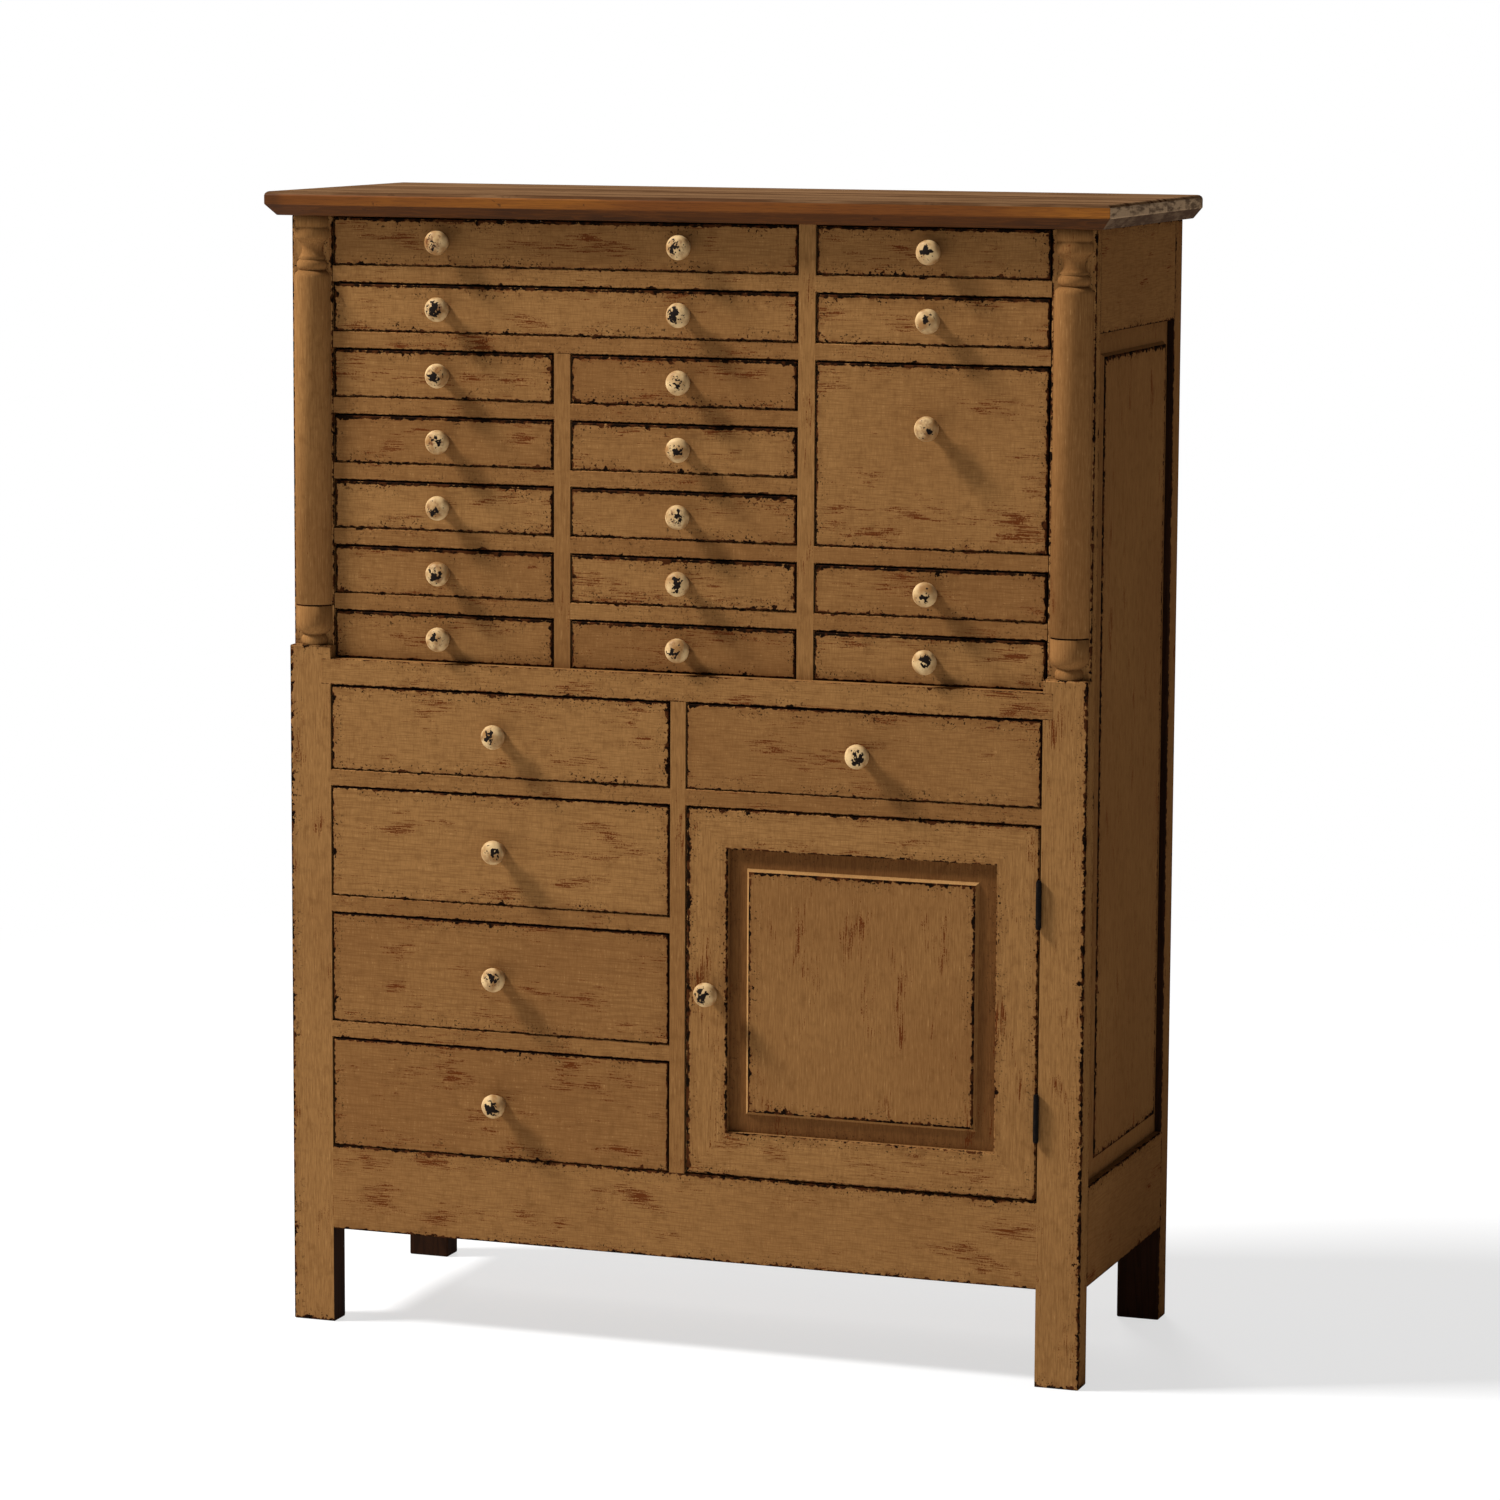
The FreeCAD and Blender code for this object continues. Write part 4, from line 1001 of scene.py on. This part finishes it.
def top_board():
    """The top: bevelled below, rounded above, with fine seams between its planks."""
    low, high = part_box("top_board")
    work = Workpiece()
    shape = work.shape
    work.block(low, high)
    cut_all(shape, (0, 0, low.z + TOP_BEVEL_HEIGHT), (0, 0, 1))
    for v in shape.verts:
        if v.co.z < low.z + TINY:
            v.co.x -= math.copysign(TOP_BEVEL_INSET, v.co.x)
            v.co.y += TOP_BEVEL_INSET if v.co.y < 0 else 0
    work.ease([e for e in shape.edges if all(v.co.z > high.z - TINY for v in e.verts)], TOP_ROUND, 4)
    work.ease(sharp_edges(shape.edges), EASE)
    pitch = (high.y - low.y) / TOP_PLANKS
    for number in range(1, TOP_PLANKS):
        seam = low.y + number * pitch
        for shift in (-SEAM, 0, SEAM):
            cut_all(shape, (0, seam + shift, 0), (0, 1, 0))
        for v in shape.verts:
            if abs(v.co.y - seam) < SEAM / 4 and v.co.z > high.z - TINY:
                v.co.z -= SEAM
    shape.normal_update()
    planks = [[] for _ in range(TOP_PLANKS)]
    for face in shape.faces:
        number = int((face.calc_center_median().y - low.y) / pitch)
        planks[min(number, TOP_PLANKS - 1)].append(face)
    for number, plank in enumerate(planks):
        under = [f for f in plank if f.normal.z < -LEANING]
        upper = [f for f in plank if f.normal.z > LEANING]
        upright = [f for f in plank if f not in under and f not in upper]
        seed = chance.random()
        plank_low = (low.x, low.y + number * pitch, low.z)
        plank_high = (high.x, low.y + (number + 1) * pitch, high.z)
        work.mark(upper, plank_low, plank_high, "X", worn_stain, seed=seed)
        # Faces below are marked dark, which the finishes turn darker: painted shade
        for faces, dark in ((under, 1), (upright, 0)):
            ends = [f for f in faces if abs(f.normal.x) > abs(f.normal.y)]
            work.mark(faces, low, high, "X", stain, dark, seed=seed)
            work.mark(ends, low, high, "X", weathered, dark, seed=seed)
    work.become("stained_top_board", "case", "stained_top", "top_board")


# Door

def door_frame(work, low, high, gap_low, gap_high):
    """The stiles and rails in one ring, whose opening reaches from gap_low to gap_high."""
    shape = work.shape
    work.block(low, high)
    flat = [f for f in shape.faces if abs(f.normal.y) > PARALLEL]
    bmesh.ops.inset_individual(shape, faces=flat, thickness=DOOR_STILE, use_even_offset=True)
    middle = (low + high) / 2
    for v in [v for f in flat for v in f.verts]:
        v.co.x = gap_low.x if v.co.x < middle.x else gap_high.x
        v.co.z = gap_low.z if v.co.z < middle.z else gap_high.z
    rims = [e for f in flat for e in f.edges]
    bmesh.ops.delete(shape, geom=flat, context="FACES_ONLY")
    bmesh.ops.bridge_loops(shape, edges=rims)
    bmesh.ops.recalc_face_normals(shape, faces=shape.faces[:])
    work.ease(sharp_edges(shape.edges), DOOR_ROUND)
    seed = chance.random()
    lost = Vector((STILE_LOST, 0, 0))
    rest = shape.faces[:]
    knob_stile_high = (gap_low.x, high.y, high.z)
    hinge_stile_low = (gap_high.x - BRIDGED, low.y, low.z)
    low_rail_high = (high.x, high.y, gap_low.z + BRIDGED)
    high_rail_low = (low.x, low.y, gap_high.z)
    for within, grain, wear, part_low, part_high in (
            (lambda at: at.x < gap_low.x + TINY, "Z", KNOB_STILE_WEAR, low + lost, knob_stile_high),
            (lambda at: at.x > gap_high.x - TINY, "Z", HINGE_STILE_WEAR, hinge_stile_low, high),
            (lambda at: at.z < middle.z, "X", LOW_RAIL_WEAR, low, low_rail_high),
            (lambda at: True, "X", HIGH_RAIL_WEAR, high_rail_low, high)):
        part = [f for f in rest if within(f.calc_center_median())]
        rest = [f for f in rest if f not in part]
        work.mark(part, part_low, part_high, grain, paint, *wear, seed)


def door():
    low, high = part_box("door_frame")
    panel_low, panel_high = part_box("door_panel")
    reach = Vector((TONGUE_REACH, 0, TONGUE_REACH))
    gap_low = panel_low + reach
    gap_high = panel_high - reach
    work = Workpiece()
    door_frame(work, low, high, gap_low, gap_high)
    work.become("door_stiles_and_rails", "door", "painted_wood", "door_frame")
    work = Workpiece()
    middle = (gap_low + gap_high) / 2
    middle.y = low.y
    opening_x = gap_high.x - gap_low.x
    opening_z = gap_high.z - gap_low.z
    place = Matrix.Translation(middle)
    # The step's upper and left faces take a paler paint as a painted highlight, and the slope a darker paint
    # as glaze and painted shade
    finishes = (paint, step_highlight_paint, recess_glaze_and_shade)
    raised_panel(work, opening_x, opening_z, DOOR_BEVEL, place, DOOR_PANEL_CHIPS, *finishes)
    work.become("door_raised_panel", "door", "painted_wood", "door_panel")


for node in drawer_nodes:
    drawer(node)
    knobs(node.replace("drawer_", "knob_", 1), node)
corner_posts()
side_rails()
side_panels()
front_rails()
inner_walls()
case_boards()
drawer_runners()
back_boards()
corner_columns()
top_board()
door()
knobs("door_knob", "door")

for node, finish in (("door_ironwork", iron), ("post_hinge_leaves", iron), ("door_catch", plastic)):
    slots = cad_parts[node].data.materials
    slots.clear()
    slots.append(finish)

# Stage, light and camera

FLOOR_REACH = 30
FLOOR_GREY = (0.86, 0.86, 0.86, 1)
FLOOR_ROUGHNESS = 0.9
FLOOR_GLOSS = 0.1
WHITE = (1, 1, 1, 1)
NEAR_WHITE = 0.65
FADE_START = 1.2
FADE_END = 3.2
SKY_LIGHT = 0.16
SHOWING_RAYS = ("Is Camera Ray", "Is Glossy Ray", "Is Transmission Ray")
LAMP_AIM = (0, 0, 0.8)
KEY_PLACE = (-9.8, -4.0, 11.2)
KEY_SIZE = 2.6
KEY_POWER = 3650
REAR_PLACE = (-2.5, 6.0, 3.5)
REAR_SIZE = 2.0
REAR_POWER = 220
CAMERA_PLACE = (2.2135, -6.2168, 1.6559)
CAMERA_LENS = 125.28
TURN_DEGREES = 19.385
LIFT_DEGREES = 90 - 7.876
ROLL_DEGREES = 0.290


def seen_directly(place):
    """1 for the rays that show the background: from the camera, or off a mirror, or through glass."""
    path = place.node("ShaderNodeLightPath").socket.node.outputs
    rays = [Shade(place.tree, path[name]) for name in SHOWING_RAYS]
    return rays[0].most(rays[1]).most(rays[2])


def floor():
    """A pale floor that keeps the shadow near the chest and fades to white further off."""
    shape = bmesh.new()
    bmesh.ops.create_grid(shape, x_segments=1, y_segments=1, size=FLOOR_REACH)
    mesh = bpy.data.meshes.new("floor")
    shape.to_mesh(mesh)
    shape.free()
    piece = bpy.data.objects.new("floor", mesh)
    bpy.context.scene.collection.objects.link(piece)
    material, shader, place = new_finish("floor", Base_Color=FLOOR_GREY, Roughness=FLOOR_ROUGHNESS,
                                         Specular_IOR_Level=FLOOR_GLOSS)
    away = place.dot(place).root().step(FADE_START, FADE_END)
    share = seen_directly(place) * (NEAR_WHITE + away * (1 - NEAR_WHITE))
    glow = place.node("ShaderNodeEmission", None, {"Color": WHITE, "Strength": 1.0})
    surface = Shade(place.tree, shader.outputs[0])
    mixed = place.node("ShaderNodeMixShader", None, {0: share, 1: surface, 2: glow})
    place.tree.links.new(mixed.socket, place.tree.nodes["Material Output"].inputs["Surface"])
    mesh.materials.append(material)


def studio():
    """Even light from all round, on a white background."""
    world = bpy.data.worlds.new("studio")
    bpy.context.scene.world = world
    world.use_nodes = True
    tree = world.node_tree
    sky = tree.nodes["Background"]
    sky.inputs["Color"].default_value = WHITE
    start = Shade(tree, tree.nodes.new("ShaderNodeTexCoord").outputs["Object"])
    feed(sky, Strength=SKY_LIGHT + seen_directly(start) * (1 - SKY_LIGHT))


def softbox(name, place, size, power):
    """A square soft lamp, aimed at the chest."""
    lamp = bpy.data.objects.new(name, bpy.data.lights.new(name, "AREA"))
    bpy.context.scene.collection.objects.link(lamp)
    lamp.data.size = size
    lamp.data.energy = power
    lamp.location = place
    lamp.rotation_mode = "QUATERNION"
    lamp.rotation_quaternion = (Vector(LAMP_AIM) - Vector(place)).to_track_quat("-Z", "Y")


floor()
studio()
softbox("key", KEY_PLACE, KEY_SIZE, KEY_POWER)
softbox("rear", REAR_PLACE, REAR_SIZE, REAR_POWER)

camera = bpy.data.objects.new("camera", bpy.data.cameras.new("camera"))
bpy.context.scene.collection.objects.link(camera)
bpy.context.scene.camera = camera
camera.data.lens = CAMERA_LENS
camera.matrix_world = (
    Matrix.Translation(CAMERA_PLACE)
    @ Matrix.Rotation(math.radians(TURN_DEGREES), 4, "Z")
    @ Matrix.Rotation(math.radians(LIFT_DEGREES), 4, "X")
    @ Matrix.Rotation(math.radians(ROLL_DEGREES), 4, "Z")
)
bpy.context.scene.view_settings.view_transform = "Standard"
